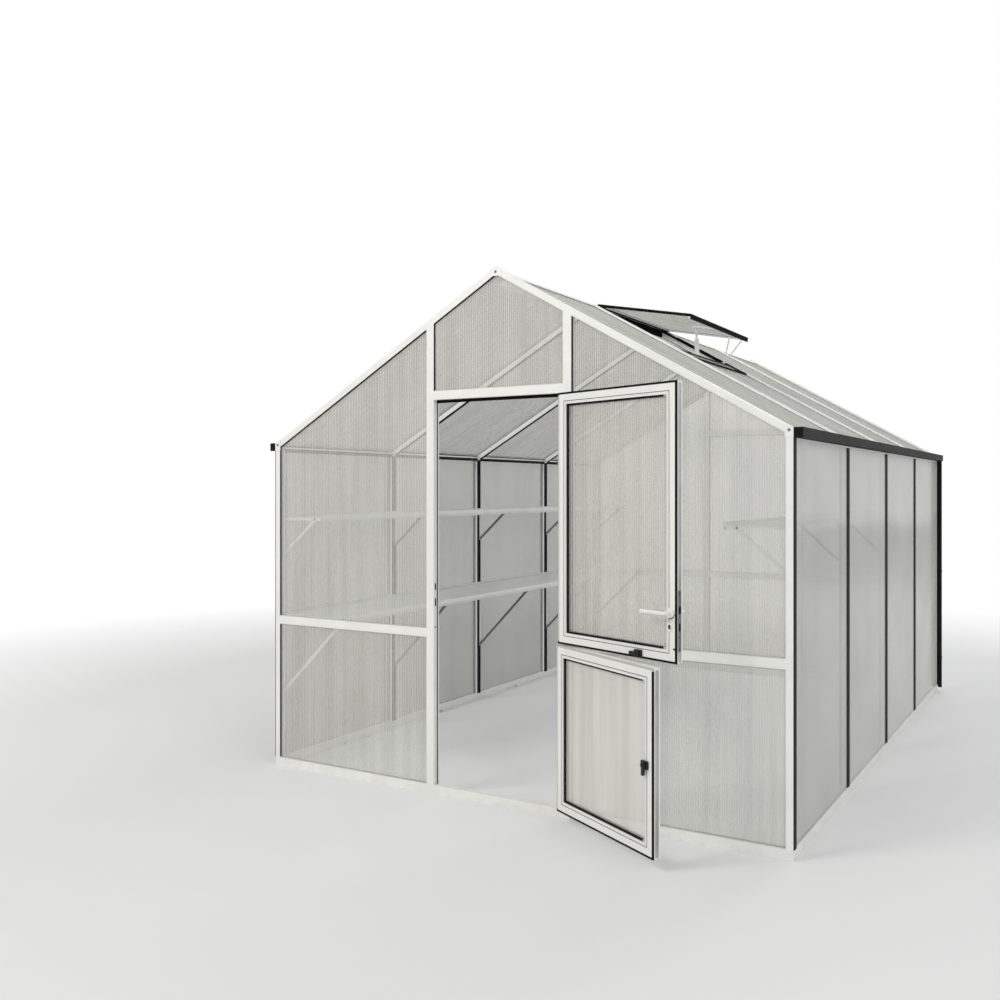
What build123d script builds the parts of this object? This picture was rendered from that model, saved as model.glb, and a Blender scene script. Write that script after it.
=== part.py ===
from build123d import *
import os
from math import cos, radians, sin, tan

os.makedirs("parts", exist_ok=True)

# Overall layout, in millimetres: X across the gable, Y towards the back, Z up.
# Y is 0 at the middle of the front frame, and Z is 0 at the underside of the sill.
bay = 1000.0                 # post to post along the side walls
bay_count = 4
corner_post_x = 1380.0       # middle of the gable to the middle of a corner post
door_post_x = 377.0          # middle of the gable to the middle of a door post
roof_pitch = 30.0            # degrees
sill_height = 45.0
rail_middle = 790.0
lintel_underside = 1933.0
eave_below_lintel = 238.0    # undersides of the eave beams below the underside of the lintel
eave_rise = 29.6             # outer face of the roof sheets over the outside of the eave beam

# Aluminium bars
frame_depth = 36.0           # gable frames, front to back
corner_face = 30.0
post_face = 42.0
rail_face = 42.0
rake_rise = 14.0             # gable rakes stand this far above the roof sheets
rake_drop = 16.0             # and reach this far below the outer face of the sheets
bar_width = 24.0             # inner body of wall posts and roof bars
bar_depth = 26.0
web_width = 6.0
cap_width = 30.0
cap_rise = 4.0
sill_foot_reach = 22.0       # flange that the anchors go through
sill_foot_thickness = 5.0
ridge_half = 34.0
ridge_keel_half = 20.0
ridge_keel_drop = 6.0
slot_mouth = 5.0             # slots for bolt heads along the inside of the bars
slot_mouth_depth = 2.5
slot_chamber = 10.0
slot_chamber_depth = 5.0
eave_groove_start = 11.0     # groove along the inside of the eave beams, above their underside
eave_groove_width = 9.0
eave_groove_depth = 6.0

# Twin-wall sheets and their seats
sheet = 10.0
sheet_recess = 6.0           # outer face of a gable sheet behind the face of its frame
wall_sheet_recess = 4.0      # outer face of a wall sheet behind the outside of the corner posts
bite = 10.0                  # how far a sheet reaches into its bar
fit = 0.3                    # clearance on each side of a seated sheet
slot_spare = 2.0             # room beyond the edge of a sheet
end_gap = 0.5                # half of the joint between two pieces that meet in line
clear = 1.0                  # gap beside pieces that lie next to each other
web_clear = 3.0              # edge of a sheet from the web of its bar

# Cover strips, gutters and downpipes
strip_width = 36.0
strip_thickness = 5.0
corner_strip_thickness = 4.0
gutter_width = 40.0
gutter_height = 42.0
gutter_wall = 2.5
gutter_back_height = 6.0
gutter_drop = 8.0            # underside of the gutter above the underside of the eave beam
eave_overhang = 4.0          # roof sheets past the outside of the eave beam
pipe_radius = 14.0
pipe_wall = 2.0
pipe_bottom = 30.0
clip_heights = (250.0, 890.0)
clip_height = 14.0
clip_wall = 1.6

# Corner and ridge plates on the gables
plate_thickness = 3.0
plate_stand = 4.0            # plates stand this far above the rakes
eave_plate_width = 35.0
eave_plate_lap = 1.0
ridge_plate_half = 33.0
ridge_plate_drop = 28.0
ridge_plate_flat = 16.0
ridge_plate_round = 5.0

# Roof vent in the second bay of the right slope
vent_bay = 2
vent_hinge_x = 45.0
vent_length = 550.0
vent_open = 19.4             # degrees above the roof slope
vent_side_clear = 2.0
vent_bar = 34.0
vent_frame_thickness = 16.0
vent_lip_depth = 10.0
vent_lip_width = 12.0
vent_flap = 3.0
vent_flap_start = 14.0
vent_lap = 35.3              # vent past the lower edge of the roof opening, when shut
curb_width = 26.0
seal_width = 12.0
seal_rise = 4.0
trimmer_width = 46.0
opener_rod_radius = 6.0
opener_tube_radius = 13.0
opener_tube_share = 0.6      # of the length between the pivots
opener_foot = 30.0
opener_width = 30.0
opener_shoe = 8.0
opener_setback = 150.0       # upper pivot of the opener from the vent's free edge
stay_radius = 4.0
stay_shoe = 6.0
stay_foot_setback = 20.0     # middle of the foot from the curb's lower bar
stay_foot_length = 30.0
stay_foot_height = 12.0
stay_tops = (106.0, 24.0)    # from the vent's free edge
stay_shoe_length = 108.0

# Door opening and the two leaves of the stable door
door_gap = 6.0
stop_width = 8.0
stop_thickness = 4.0
stop_gap = 5.0
leaf_thickness = 34.0
leaf_split = 800.0           # height of the joint between the leaves
leaf_face = 52.0             # white face of the stiles and rails
glazing_seal = 8.0
glazing_seal_recess = 5.0
rim_seal_width = 9.0
rim_seal_depth = 6.0
bead_line = 44.0             # where the glazing bead starts, from the edge of the leaf
bead_step = 1.5
bead_line_width = 2.0
edge_groove_width = 11.0
edge_groove_depth = 6.0
edge_groove_start = 6.0
upper_leaf_open = 159.5      # degrees, as they stand in this model
lower_leaf_open = 150.0

# Lift-off hinges
hinge_axis_x = 363.0
knuckle_radius = 7.0
knuckle_length = 45.0
knuckle_gap = 0.5
hinge_pin_radius = 4.0
hinge_pin_length = 30.0
hinge_pin_clearance = 0.1
hinge_plate = 3.0
hinge_plate_reach = 30.0
hinge_arm = 9.0
arm_lap = 5.0                # how far the arm of a hinge lies on the face of its leaf
hinge_end_distance = 150.0   # middle of a hinge from the end of its leaf

# Lever handle, lock slots and turn latches
handle_height = 1004.0
handle_backset = 32.0
spindle_radius = 4.5
spindle_clearance = 0.4
rose_radius = 21.0
rose_thickness = 6.0
lever_stand = 42.0           # middle of the lever from the face of the leaf
lever_length = 120.0
lever_radius = 8.0
lever_neck_radius = 8.0
rose_gap = 0.3
strike_slots = ((1016.0, 34.0), (940.0, 40.0))   # height of the middle, length
strike_width = 12.0
strike_middle = -1.0          # middle of the slots from the middle of the frame
strike_depth = 8.0
latch_long = 40.0
latch_wide = 32.0
latch_thickness = 9.0
latch_arm_length = 42.0         # from the pin to the tip
latch_arm_width = 15.0
latch_arm_thickness = 8.0
latch_pin_radius = 4.0
latch_pin_clearance = 0.1
latch_gap = 0.3
latch_corner = 3.0
latch_knob_radius = 12.0
upper_latch_from_edge = 204.0
upper_latch_rise = 22.0      # middle of the upper latch above the joint between the leaves
lower_latch_from_edge = 48.0
lower_latch_height = 413.0

# Shelves on brackets
shelf_top = 1344.0
shelf_depth = 258.0
bench_top = 822.0
bench_depth = 454.0
shelf_plate = 3.0
shelf_lip = 20.0
shelf_upstand = 14.0
shelf_wall_gap = 2.0
bracket_width = 10.0
bracket_arm = 14.0
bracket_foot = 8.0
bracket_strut = 12.0
shelf_bracket_drop = 205.0
bench_bracket_drop = 432.0
bracket_tip_gap = 8.0
strut_setback = 40.0

# Sizes that follow
length = bay * bay_count
mid_length = Plane.XZ.offset(-length / 2)
half_depth = frame_depth / 2
half_face = post_face / 2
slope = radians(roof_pitch)
wall_in = corner_post_x - corner_face / 2
wall_out = corner_post_x + corner_face / 2
eave_underside = lintel_underside - eave_below_lintel
roof_peak = eave_underside + eave_rise + wall_out * tan(slope)  # outer faces of the slopes meet
door_in = door_post_x - half_face
door_out = door_post_x + half_face
rail_low = rail_middle - rail_face / 2
rail_high = rail_middle + rail_face / 2
lintel_top = lintel_underside + rail_face
seat = sheet + 2 * fit
pane_front = -half_depth + sheet_recess
pane_back = pane_front + sheet
wall_pane_out = wall_out - wall_sheet_recess
wall_pane_in = wall_pane_out - sheet
web_reach = web_width / 2
sheet_gap = web_reach + web_clear
eave_x = wall_out + eave_overhang
gutter_bottom = eave_underside + gutter_drop
strip_top = gutter_bottom - clear
post_body_in = wall_pane_in - fit - bar_depth
vent_edge_x = vent_hinge_x + vent_length * cos(slope) - vent_lap
upper_latch_height = leaf_split + upper_latch_rise
slot_floor = slot_mouth_depth + slot_chamber_depth
bar_under = -sheet - fit - bar_depth
eave_groove_low = eave_underside + eave_groove_start


def roof_height(x, above=0.0):
    """Height of the roof's outer face at x, or of a line that runs above it."""
    return roof_peak - abs(x) * tan(slope) + above / cos(slope)


def slope_strip(x_low, x_high, under, over):
    """Corners of a strip that follows the right slope, with upright ends."""
    return [
        (x_low, roof_height(x_low, under)),
        (x_high, roof_height(x_high, under)),
        (x_high, roof_height(x_high, over)),
        (x_low, roof_height(x_low, over)),
    ]


def under_rake(x_low, x_high, bottom, top_offset=-rake_drop):
    """Corners of an upright piece whose top follows the underside of the right rake."""
    return [
        (x_low, bottom),
        (x_high, bottom),
        (x_high, roof_height(x_high, top_offset)),
        (x_low, roof_height(x_low, top_offset)),
    ]


def across(y):
    """Upright plane across the house at y, seen from the front."""
    return Plane.XZ.offset(-y)


def rectangle_corners(x_low, x_high, z_low, z_high):
    """Corners of an upright rectangle."""
    return [(x_low, z_low), (x_high, z_low), (x_high, z_high), (x_low, z_high)]


def save(builder, name):
    """Label one finished piece and write it."""
    builder.part.label = name
    export_step(builder.part, f"parts/{name}.step")


# Gable sheets: each outline is used for the sheet and, a little larger, for its seat
side_upper_outline = under_rake(door_out - bite, wall_in + bite, rail_high - bite, bite - rake_drop)
side_lower_outline = rectangle_corners(door_out - bite, wall_in + bite, sill_height - bite, rail_low + bite)
gable_outline = [
    (-door_in - bite, lintel_top - bite),
    (door_in + bite, lintel_top - bite),
    (door_in + bite, roof_height(door_in + bite, bite - rake_drop)),
    (0, roof_height(0, bite - rake_drop)),
    (-door_in - bite, roof_height(door_in + bite, bite - rake_drop)),
]
back_mid_outline = rectangle_corners(
    -door_in - bite, door_in + bite, rail_high - bite, lintel_underside + bite
)
back_low_outline = rectangle_corners(-door_in - bite, door_in + bite, sill_height - bite, rail_low + bite)

with BuildPart() as side_seats:
    with BuildSketch(across(pane_back + fit)):
        Polygon(*side_upper_outline, align=None)
        offset(amount=slot_spare, kind=Kind.INTERSECTION)
    extrude(amount=seat)
    with BuildSketch(across(pane_back + fit)):
        Polygon(*side_lower_outline, align=None)
        offset(amount=slot_spare, kind=Kind.INTERSECTION)
    extrude(amount=seat)
    mirror(about=Plane.YZ)

with BuildPart() as gable_seat:
    with BuildSketch(across(pane_back + fit)):
        Polygon(*gable_outline, align=None)
        offset(amount=slot_spare, kind=Kind.INTERSECTION)
    extrude(amount=seat)

with BuildPart() as back_middle_seats:
    for outline in (back_mid_outline, back_low_outline):
        with BuildSketch(across(pane_back + fit)):
            Polygon(*outline, align=None)
            offset(amount=slot_spare, kind=Kind.INTERSECTION)
        extrude(amount=seat)
    mirror(about=mid_length, mode=Mode.REPLACE)

with BuildPart() as wall_seats:
    with BuildSketch(across(length - half_depth + bite + slot_spare)):
        with Locations(((wall_pane_in + wall_pane_out) / 2, (sill_height + eave_underside) / 2)):
            Rectangle(seat, eave_underside - sill_height + 2 * (bite + slot_spare))
    extrude(amount=length - frame_depth + 2 * (bite + slot_spare))

with BuildPart() as roof_seats:
    with BuildSketch(across(length - half_depth + bite + slot_spare)):
        Polygon(*slope_strip(ridge_half - bite - slot_spare, eave_x, -sheet - fit, fit), align=None)
    extrude(amount=length - frame_depth + 2 * (bite + slot_spare))
    mirror(about=Plane.YZ)

# Front sill, which is also the threshold of the door
with BuildPart() as front_sill:
    with BuildSketch(Plane.YZ.offset(-wall_out)):
        Polygon(*rectangle_corners(-half_depth, half_depth, 0, sill_height), align=None)
    extrude(amount=2 * wall_out)
    with BuildSketch(Plane.YZ.offset(-wall_in)):
        Polygon(
            *rectangle_corners(half_depth, half_depth + sill_foot_reach, 0, sill_foot_thickness),
            align=None,
        )
    extrude(amount=2 * wall_in)
    add(side_seats.part, mode=Mode.SUBTRACT)
    add(wall_seats.part, mode=Mode.SUBTRACT)
    add(mirror(wall_seats.part, about=Plane.YZ, mode=Mode.PRIVATE), mode=Mode.SUBTRACT)
save(front_sill, "front_sill")

with BuildPart() as back_sill:
    add(mirror(front_sill.part, about=mid_length, mode=Mode.PRIVATE))
    add(back_middle_seats.part, mode=Mode.SUBTRACT)
save(back_sill, "back_sill")

with BuildPart() as side_sills:
    with BuildSketch(across(length - half_depth)):
        Polygon(*rectangle_corners(wall_in, wall_out, 0, sill_height), align=None)
    extrude(amount=length - frame_depth)
    with BuildSketch(across(length - half_depth - sill_foot_reach)):
        Polygon(
            *rectangle_corners(wall_in - sill_foot_reach, wall_in, 0, sill_foot_thickness),
            align=None,
        )
    extrude(amount=length - frame_depth - 2 * sill_foot_reach)
    add(wall_seats.part, mode=Mode.SUBTRACT)
    mirror(about=Plane.YZ)
save(side_sills, "side_sills")

# Corner posts
with BuildPart() as corner_posts:
    with BuildSketch(across(half_depth)):
        Polygon(*under_rake(wall_in, wall_out, sill_height), align=None)
    extrude(amount=frame_depth)
    add(side_seats.part, mode=Mode.SUBTRACT)
    add(wall_seats.part, mode=Mode.SUBTRACT)
    mirror(about=Plane.YZ)
    mirror(about=mid_length)
save(corner_posts, "corner_posts")

# Door posts with the stop that the leaves close against, and the slots for the lock
with BuildPart() as door_posts:
    with BuildSketch(across(half_depth)):
        Polygon(*under_rake(door_in, door_out, sill_height), align=None)
    extrude(amount=frame_depth)
    with BuildSketch(across(half_depth)):
        Polygon(
            *rectangle_corners(door_in - stop_width, door_in, sill_height, lintel_underside - stop_width),
            align=None,
        )
    extrude(amount=stop_thickness)
    add(side_seats.part, mode=Mode.SUBTRACT)
    add(gable_seat.part, mode=Mode.SUBTRACT)
    mirror(about=Plane.YZ)
    for slot_height, slot_length in strike_slots:
        with BuildSketch(Plane.YZ.offset(-door_in - strike_depth)):
            with Locations((strike_middle, slot_height)):
                SlotOverall(slot_length, strike_width, rotation=90)
        extrude(amount=strike_depth, mode=Mode.SUBTRACT)
save(door_posts, "door_posts")

with BuildPart() as back_posts:
    with BuildSketch(across(half_depth)):
        Polygon(*under_rake(door_in, door_out, sill_height), align=None)
    extrude(amount=frame_depth)
    add(side_seats.part, mode=Mode.SUBTRACT)
    add(gable_seat.part, mode=Mode.SUBTRACT)
    mirror(about=Plane.YZ)
    mirror(about=mid_length, mode=Mode.REPLACE)
    add(back_middle_seats.part, mode=Mode.SUBTRACT)
save(back_posts, "back_posts")

# Lintel over the door, with its stop
with BuildPart() as door_lintel:
    with BuildSketch(across(half_depth)):
        Polygon(*rectangle_corners(-door_in, door_in, lintel_underside, lintel_top), align=None)
    extrude(amount=frame_depth)
    with BuildSketch(across(half_depth)):
        Polygon(
            *rectangle_corners(-door_in, door_in, lintel_underside - stop_width, lintel_underside),
            align=None,
        )
    extrude(amount=stop_thickness)
    add(gable_seat.part, mode=Mode.SUBTRACT)
save(door_lintel, "door_lintel")

with BuildPart() as front_rails:
    with BuildSketch(across(half_depth)):
        Polygon(*rectangle_corners(door_out, wall_in, rail_low, rail_high), align=None)
    extrude(amount=frame_depth)
    add(side_seats.part, mode=Mode.SUBTRACT)
    mirror(about=Plane.YZ)
save(front_rails, "front_rails")

with BuildPart() as back_rails:
    with BuildSketch(across(half_depth)):
        Polygon(*rectangle_corners(door_out, wall_in, rail_low, rail_high), align=None)
    extrude(amount=frame_depth)
    mirror(about=Plane.YZ)
    with BuildSketch(across(half_depth)):
        Polygon(*rectangle_corners(-door_in, door_in, rail_low, rail_high), align=None)
        Polygon(*rectangle_corners(-door_in, door_in, lintel_underside, lintel_top), align=None)
    extrude(amount=frame_depth)
    add(side_seats.part, mode=Mode.SUBTRACT)
    add(gable_seat.part, mode=Mode.SUBTRACT)
    mirror(about=mid_length, mode=Mode.REPLACE)
    add(back_middle_seats.part, mode=Mode.SUBTRACT)
save(back_rails, "back_rails")

# Rakes of the two gables
with BuildPart() as front_rakes:
    with BuildSketch(across(half_depth)):
        Polygon(*slope_strip(end_gap, wall_out, -rake_drop, rake_rise), align=None)
    extrude(amount=frame_depth)
    mirror(about=Plane.YZ)
    add(side_seats.part, mode=Mode.SUBTRACT)
    add(gable_seat.part, mode=Mode.SUBTRACT)
    add(roof_seats.part, mode=Mode.SUBTRACT)
save(front_rakes, "front_rakes")

with BuildPart() as back_rakes:
    add(mirror(front_rakes.part, about=mid_length, mode=Mode.PRIVATE))
save(back_rakes, "back_rakes")

# Plates over the joints at the ridge and at the four corners
ridge_plate_outline = [
    (ridge_plate_half, roof_height(ridge_plate_half, rake_rise + plate_stand)),
    (0, roof_height(0, rake_rise + plate_stand)),
    (-ridge_plate_half, roof_height(ridge_plate_half, rake_rise + plate_stand)),
    (-ridge_plate_half, roof_height(ridge_plate_half, -rake_drop)),
    (-ridge_plate_flat, roof_peak - ridge_plate_drop),
    (ridge_plate_flat, roof_peak - ridge_plate_drop),
    (ridge_plate_half, roof_height(ridge_plate_half, -rake_drop)),
]
plate_out = wall_out + eave_plate_lap
eave_plate_outline = [
    (plate_out - eave_plate_width, gutter_bottom),
    (plate_out, gutter_bottom),
    (plate_out, roof_height(plate_out, rake_rise + plate_stand)),
    (plate_out - eave_plate_width, roof_height(plate_out - eave_plate_width, rake_rise + plate_stand)),
]
with BuildPart() as gable_plates:
    with BuildSketch(across(-half_depth)):
        Polygon(*ridge_plate_outline, align=None)
    extrude(amount=plate_thickness)
    fillet(gable_plates.edges().filter_by(Axis.Y).sort_by(Axis.Z)[-1], ridge_plate_round)
    with BuildSketch(across(-half_depth)):
        Polygon(*eave_plate_outline, align=None)
    extrude(amount=plate_thickness)
    mirror(about=Plane.YZ)
    mirror(about=mid_length)
save(gable_plates, "gable_plates")

# Ridge beam between the gables
with BuildPart() as ridge_beam:
    with BuildSketch(across(length - half_depth)):
        Polygon(
            (0, roof_height(0, cap_rise)),
            (-ridge_half, roof_height(ridge_half, cap_rise)),
            (-ridge_half, roof_height(ridge_half, bar_under)),
            (-ridge_keel_half, roof_height(ridge_half, bar_under) - ridge_keel_drop),
            (ridge_keel_half, roof_height(ridge_half, bar_under) - ridge_keel_drop),
            (ridge_half, roof_height(ridge_half, bar_under)),
            (ridge_half, roof_height(ridge_half, cap_rise)),
            align=None,
        )
    extrude(amount=length - frame_depth)
    add(roof_seats.part, mode=Mode.SUBTRACT)
save(ridge_beam, "ridge_beam")

# Eave beams, which hold the top of the wall sheets
with BuildPart() as eave_beams:
    with BuildSketch(across(length - half_depth)):
        Polygon(*under_rake(wall_in, wall_out, eave_underside, -sheet - fit), align=None)
        Polygon(
            *rectangle_corners(
                wall_in, wall_in + eave_groove_depth, eave_groove_low, eave_groove_low + eave_groove_width
            ),
            align=None,
            mode=Mode.SUBTRACT,
        )
    extrude(amount=length - frame_depth)
    add(wall_seats.part, mode=Mode.SUBTRACT)
    mirror(about=Plane.YZ)
save(eave_beams, "eave_beams")

# Wall posts: a body inside the sheets, with a slot for bolt heads, and a web between them
with BuildPart() as wall_posts:
    for number in range(1, bay_count):
        with BuildSketch(Plane.XY.offset(sill_height)):
            with Locations((wall_pane_in - fit - bar_depth / 2, number * bay)):
                Rectangle(bar_depth, bar_width)
            with Locations((wall_pane_in + sheet / 2, number * bay)):
                Rectangle(seat, web_width)
            with Locations((post_body_in + slot_mouth_depth / 2, number * bay)):
                Rectangle(slot_mouth_depth, slot_mouth, mode=Mode.SUBTRACT)
            with Locations((post_body_in + slot_mouth_depth + slot_chamber_depth / 2, number * bay)):
                Rectangle(slot_chamber_depth, slot_chamber, mode=Mode.SUBTRACT)
        extrude(amount=eave_underside - sill_height)
    mirror(about=Plane.YZ)
save(wall_posts, "wall_posts")

# Roof bars: a body with a slot below the sheets, a web between them and a cap over their edges
with BuildPart() as roof_bars:
    for number in range(1, bay_count):
        with BuildSketch(across(number * bay)):
            Polygon(*slope_strip(ridge_half, wall_in, bar_under, -sheet - fit), align=None)
        extrude(amount=bar_width / 2, both=True)
        with BuildSketch(across(number * bay)):
            Polygon(*slope_strip(ridge_half, wall_in, bar_under, bar_under + slot_mouth_depth), align=None)
        extrude(amount=slot_mouth / 2, both=True, mode=Mode.SUBTRACT)
        with BuildSketch(across(number * bay)):
            Polygon(
                *slope_strip(ridge_half, wall_in, bar_under + slot_mouth_depth, bar_under + slot_floor),
                align=None,
            )
        extrude(amount=slot_chamber / 2, both=True, mode=Mode.SUBTRACT)
        with BuildSketch(across(number * bay)):
            Polygon(*slope_strip(ridge_half, wall_out, -sheet - fit, fit), align=None)
        extrude(amount=web_reach, both=True)
        with BuildSketch(across(number * bay)):
            Polygon(*slope_strip(ridge_half, eave_x, fit, cap_rise), align=None)
        extrude(amount=cap_width / 2, both=True)
    mirror(about=Plane.YZ)
save(roof_bars, "roof_bars")

# Dark strips outside the wall posts and down the sides of the corner posts
with BuildPart() as cover_strips:
    for number in range(1, bay_count):
        with BuildSketch(Plane.XY.offset(sill_height)):
            with Locations((wall_pane_out + fit + strip_thickness / 2, number * bay)):
                Rectangle(strip_thickness, strip_width)
        extrude(amount=eave_underside - sill_height)
    for corner_y in (0, length):
        with BuildSketch(Plane.XY.offset(sill_height)):
            with Locations((wall_out + corner_strip_thickness / 2, corner_y)):
                Rectangle(corner_strip_thickness, frame_depth)
        extrude(amount=strip_top - sill_height)
    mirror(about=Plane.YZ)
save(cover_strips, "cover_strips")

# Gutters: open channels in lengths of one bay, with closed ends and an outlet at the back
gutter_outline = rectangle_corners(
    wall_out, wall_out + gutter_width, gutter_bottom, gutter_bottom + gutter_height
)
with BuildPart() as gutters:
    with BuildSketch(across(length + half_depth)):
        Polygon(*gutter_outline, align=None)
    extrude(amount=length + frame_depth)
    with BuildSketch(across(length + half_depth - gutter_wall)):
        Polygon(
            *rectangle_corners(
                wall_out + gutter_wall,
                wall_out + gutter_width - gutter_wall,
                gutter_bottom + gutter_wall,
                gutter_bottom + gutter_height,
            ),
            align=None,
        )
        Polygon(
            *rectangle_corners(
                wall_out,
                wall_out + gutter_wall,
                gutter_bottom + gutter_back_height,
                gutter_bottom + gutter_height,
            ),
            align=None,
        )
    extrude(amount=length + frame_depth - 2 * gutter_wall, mode=Mode.SUBTRACT)
    with BuildSketch(Plane.XY.offset(gutter_bottom)):
        with Locations((wall_out + gutter_width / 2, length)):
            Circle(pipe_radius - pipe_wall)
    extrude(amount=gutter_wall, mode=Mode.SUBTRACT)
    for number in range(1, bay_count):
        with BuildSketch(across(number * bay + end_gap)):
            Polygon(*gutter_outline, align=None)
        extrude(amount=2 * end_gap, mode=Mode.SUBTRACT)
    mirror(about=Plane.YZ)
save(gutters, "gutters")

with BuildPart() as downpipes:
    pipe_x = wall_out + gutter_width / 2
    with BuildSketch(Plane.XY.offset(pipe_bottom)):
        with Locations((pipe_x, length)):
            Circle(pipe_radius)
    extrude(amount=gutter_bottom - pipe_bottom)
    for clip_z in clip_heights:
        with BuildSketch(Plane.XY.offset(clip_z - clip_height / 2)):
            with Locations((pipe_x, length)):
                Circle(pipe_radius + clip_wall)
            with Locations(((wall_out + corner_strip_thickness + pipe_x) / 2, length)):
                Rectangle(pipe_x - wall_out - corner_strip_thickness, clip_height)
        extrude(amount=clip_height)
    with BuildSketch(Plane.XY.offset(pipe_bottom)):
        with Locations((pipe_x, length)):
            Circle(pipe_radius - pipe_wall)
    extrude(amount=gutter_bottom - pipe_bottom, mode=Mode.SUBTRACT)
    mirror(about=Plane.YZ)
save(downpipes, "downpipes")

# Sheets of the gables
with BuildPart() as front_panes:
    with BuildSketch(across(pane_back)):
        Polygon(*side_upper_outline, align=None)
        Polygon(*side_lower_outline, align=None)
    extrude(amount=sheet)
    mirror(about=Plane.YZ)
    with BuildSketch(across(pane_back)):
        Polygon(*gable_outline, align=None)
    extrude(amount=sheet)
save(front_panes, "front_panes")

with BuildPart() as back_panes:
    with BuildSketch(across(pane_back)):
        Polygon(*side_upper_outline, align=None)
        Polygon(*side_lower_outline, align=None)
    extrude(amount=sheet)
    mirror(about=Plane.YZ)
    with BuildSketch(across(pane_back)):
        Polygon(*gable_outline, align=None)
        Polygon(*back_mid_outline, align=None)
        Polygon(*back_low_outline, align=None)
    extrude(amount=sheet)
    mirror(about=mid_length, mode=Mode.REPLACE)
save(back_panes, "back_panes")


def sheet_span(number):
    """Front and back edge of the sheet in one bay, counted from 1 at the front."""
    start = half_depth - bite if number == 1 else (number - 1) * bay + sheet_gap
    end = length - half_depth + bite if number == bay_count else number * bay - sheet_gap
    return start, end


# Sheets of the side walls
with BuildPart() as right_wall_panes:
    for number in range(1, bay_count + 1):
        start, end = sheet_span(number)
        with BuildSketch(across(end)):
            Polygon(
                *rectangle_corners(wall_pane_in, wall_pane_out, sill_height - bite, eave_underside + bite),
                align=None,
            )
        extrude(amount=end - start)
save(right_wall_panes, "right_wall_panes")

with BuildPart() as left_wall_panes:
    add(mirror(right_wall_panes.part, about=Plane.YZ, mode=Mode.PRIVATE))
save(left_wall_panes, "left_wall_panes")

# Sheets of the roof; the one below the vent starts at the lower edge of the opening
with BuildPart() as right_roof_panes:
    for number in range(1, bay_count + 1):
        start, end = sheet_span(number)
        top_x = vent_edge_x + end_gap if number == vent_bay else ridge_half - bite
        with BuildSketch(across(end)):
            Polygon(*slope_strip(top_x, eave_x, -sheet, 0), align=None)
        extrude(amount=end - start)
save(right_roof_panes, "right_roof_panes")

with BuildPart() as left_roof_panes:
    for number in range(1, bay_count + 1):
        start, end = sheet_span(number)
        with BuildSketch(across(end)):
            Polygon(*slope_strip(ridge_half - bite, eave_x, -sheet, 0), align=None)
        extrude(amount=end - start)
    mirror(about=Plane.YZ, mode=Mode.REPLACE)
save(left_roof_panes, "left_roof_panes")

# Curb round the vent's opening, with a bar that carries the shortened sheet
vent_middle = vent_bay * bay - bay / 2
roof_face = Plane(
    origin=(0, vent_middle, roof_peak), x_dir=(cos(slope), 0, -sin(slope)), z_dir=(sin(slope), 0, cos(slope))
)
curb_start = ridge_half / cos(slope) + slot_spare
curb_end = vent_edge_x / cos(slope)
curb_half = bay / 2 - web_reach - fit
curb_inner_half = bay / 2 - cap_width / 2 - seal_width
curb_inner_end = curb_end - curb_width
with BuildPart() as vent_curb:
    with BuildSketch(roof_face.offset(-sheet - fit)):
        Polygon(*rectangle_corners(curb_start, curb_end, -curb_half, curb_half), align=None)
        Polygon(
            *rectangle_corners(curb_start, curb_inner_end, -curb_inner_half, curb_inner_half),
            align=None,
            mode=Mode.SUBTRACT,
        )
    extrude(amount=sheet + fit)
    with BuildSketch(roof_face.offset(bar_under)):
        Polygon(
            *rectangle_corners(
                curb_inner_end,
                curb_inner_end + trimmer_width,
                bar_width / 2 - bay / 2,
                bay / 2 - bar_width / 2,
            ),
            align=None,
        )
    extrude(amount=bar_depth)
save(vent_curb, "vent_curb")

seal_half = bay / 2 - cap_width / 2 - fit
with BuildPart() as vent_seal:
    with BuildSketch(roof_face):
        Polygon(*rectangle_corners(curb_start, curb_end, -seal_half, seal_half), align=None)
        Polygon(
            *rectangle_corners(
                curb_start, curb_end - seal_width, seal_width - seal_half, seal_half - seal_width
            ),
            align=None,
            mode=Mode.SUBTRACT,
        )
    extrude(amount=seal_rise)
save(vent_seal, "vent_seal")

# The vent, propped open
vent_pitch = radians(roof_pitch - vent_open)
vent_half = bay / 2 - vent_side_clear
vent_under = Plane(
    origin=(vent_hinge_x, vent_middle, roof_height(vent_hinge_x, cap_rise + clear)),
    x_dir=(cos(vent_pitch), 0, -sin(vent_pitch)),
    z_dir=(sin(vent_pitch), 0, cos(vent_pitch)),
)
vent_pane_under = (vent_frame_thickness - sheet) / 2
with BuildPart() as vent_frame:
    with BuildSketch(vent_under):
        Polygon(*rectangle_corners(0, vent_length, -vent_half, vent_half), align=None)
        Polygon(
            *rectangle_corners(vent_bar, vent_length - vent_bar, vent_bar - vent_half, vent_half - vent_bar),
            align=None,
            mode=Mode.SUBTRACT,
        )
    extrude(amount=vent_frame_thickness)
    with BuildSketch(vent_under.offset(-vent_lip_depth)):
        Polygon(
            *rectangle_corners(vent_length - vent_lip_width, vent_length, -vent_half, vent_half),
            align=None,
        )
    extrude(amount=vent_lip_depth)
    with BuildSketch(across(vent_middle + vent_half)):
        Polygon(
            *slope_strip(
                vent_flap_start, vent_hinge_x + vent_flap, cap_rise + fit, cap_rise + fit + vent_flap
            ),
            align=None,
        )
    extrude(amount=2 * vent_half)
    with BuildSketch(vent_under.offset(vent_pane_under - fit)):
        Polygon(
            *rectangle_corners(
                vent_bar - bite - slot_spare,
                vent_length - vent_bar + bite + slot_spare,
                vent_bar - bite - slot_spare - vent_half,
                vent_half - vent_bar + bite + slot_spare,
            ),
            align=None,
        )
    extrude(amount=seat, mode=Mode.SUBTRACT)
save(vent_frame, "vent_frame")

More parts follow.
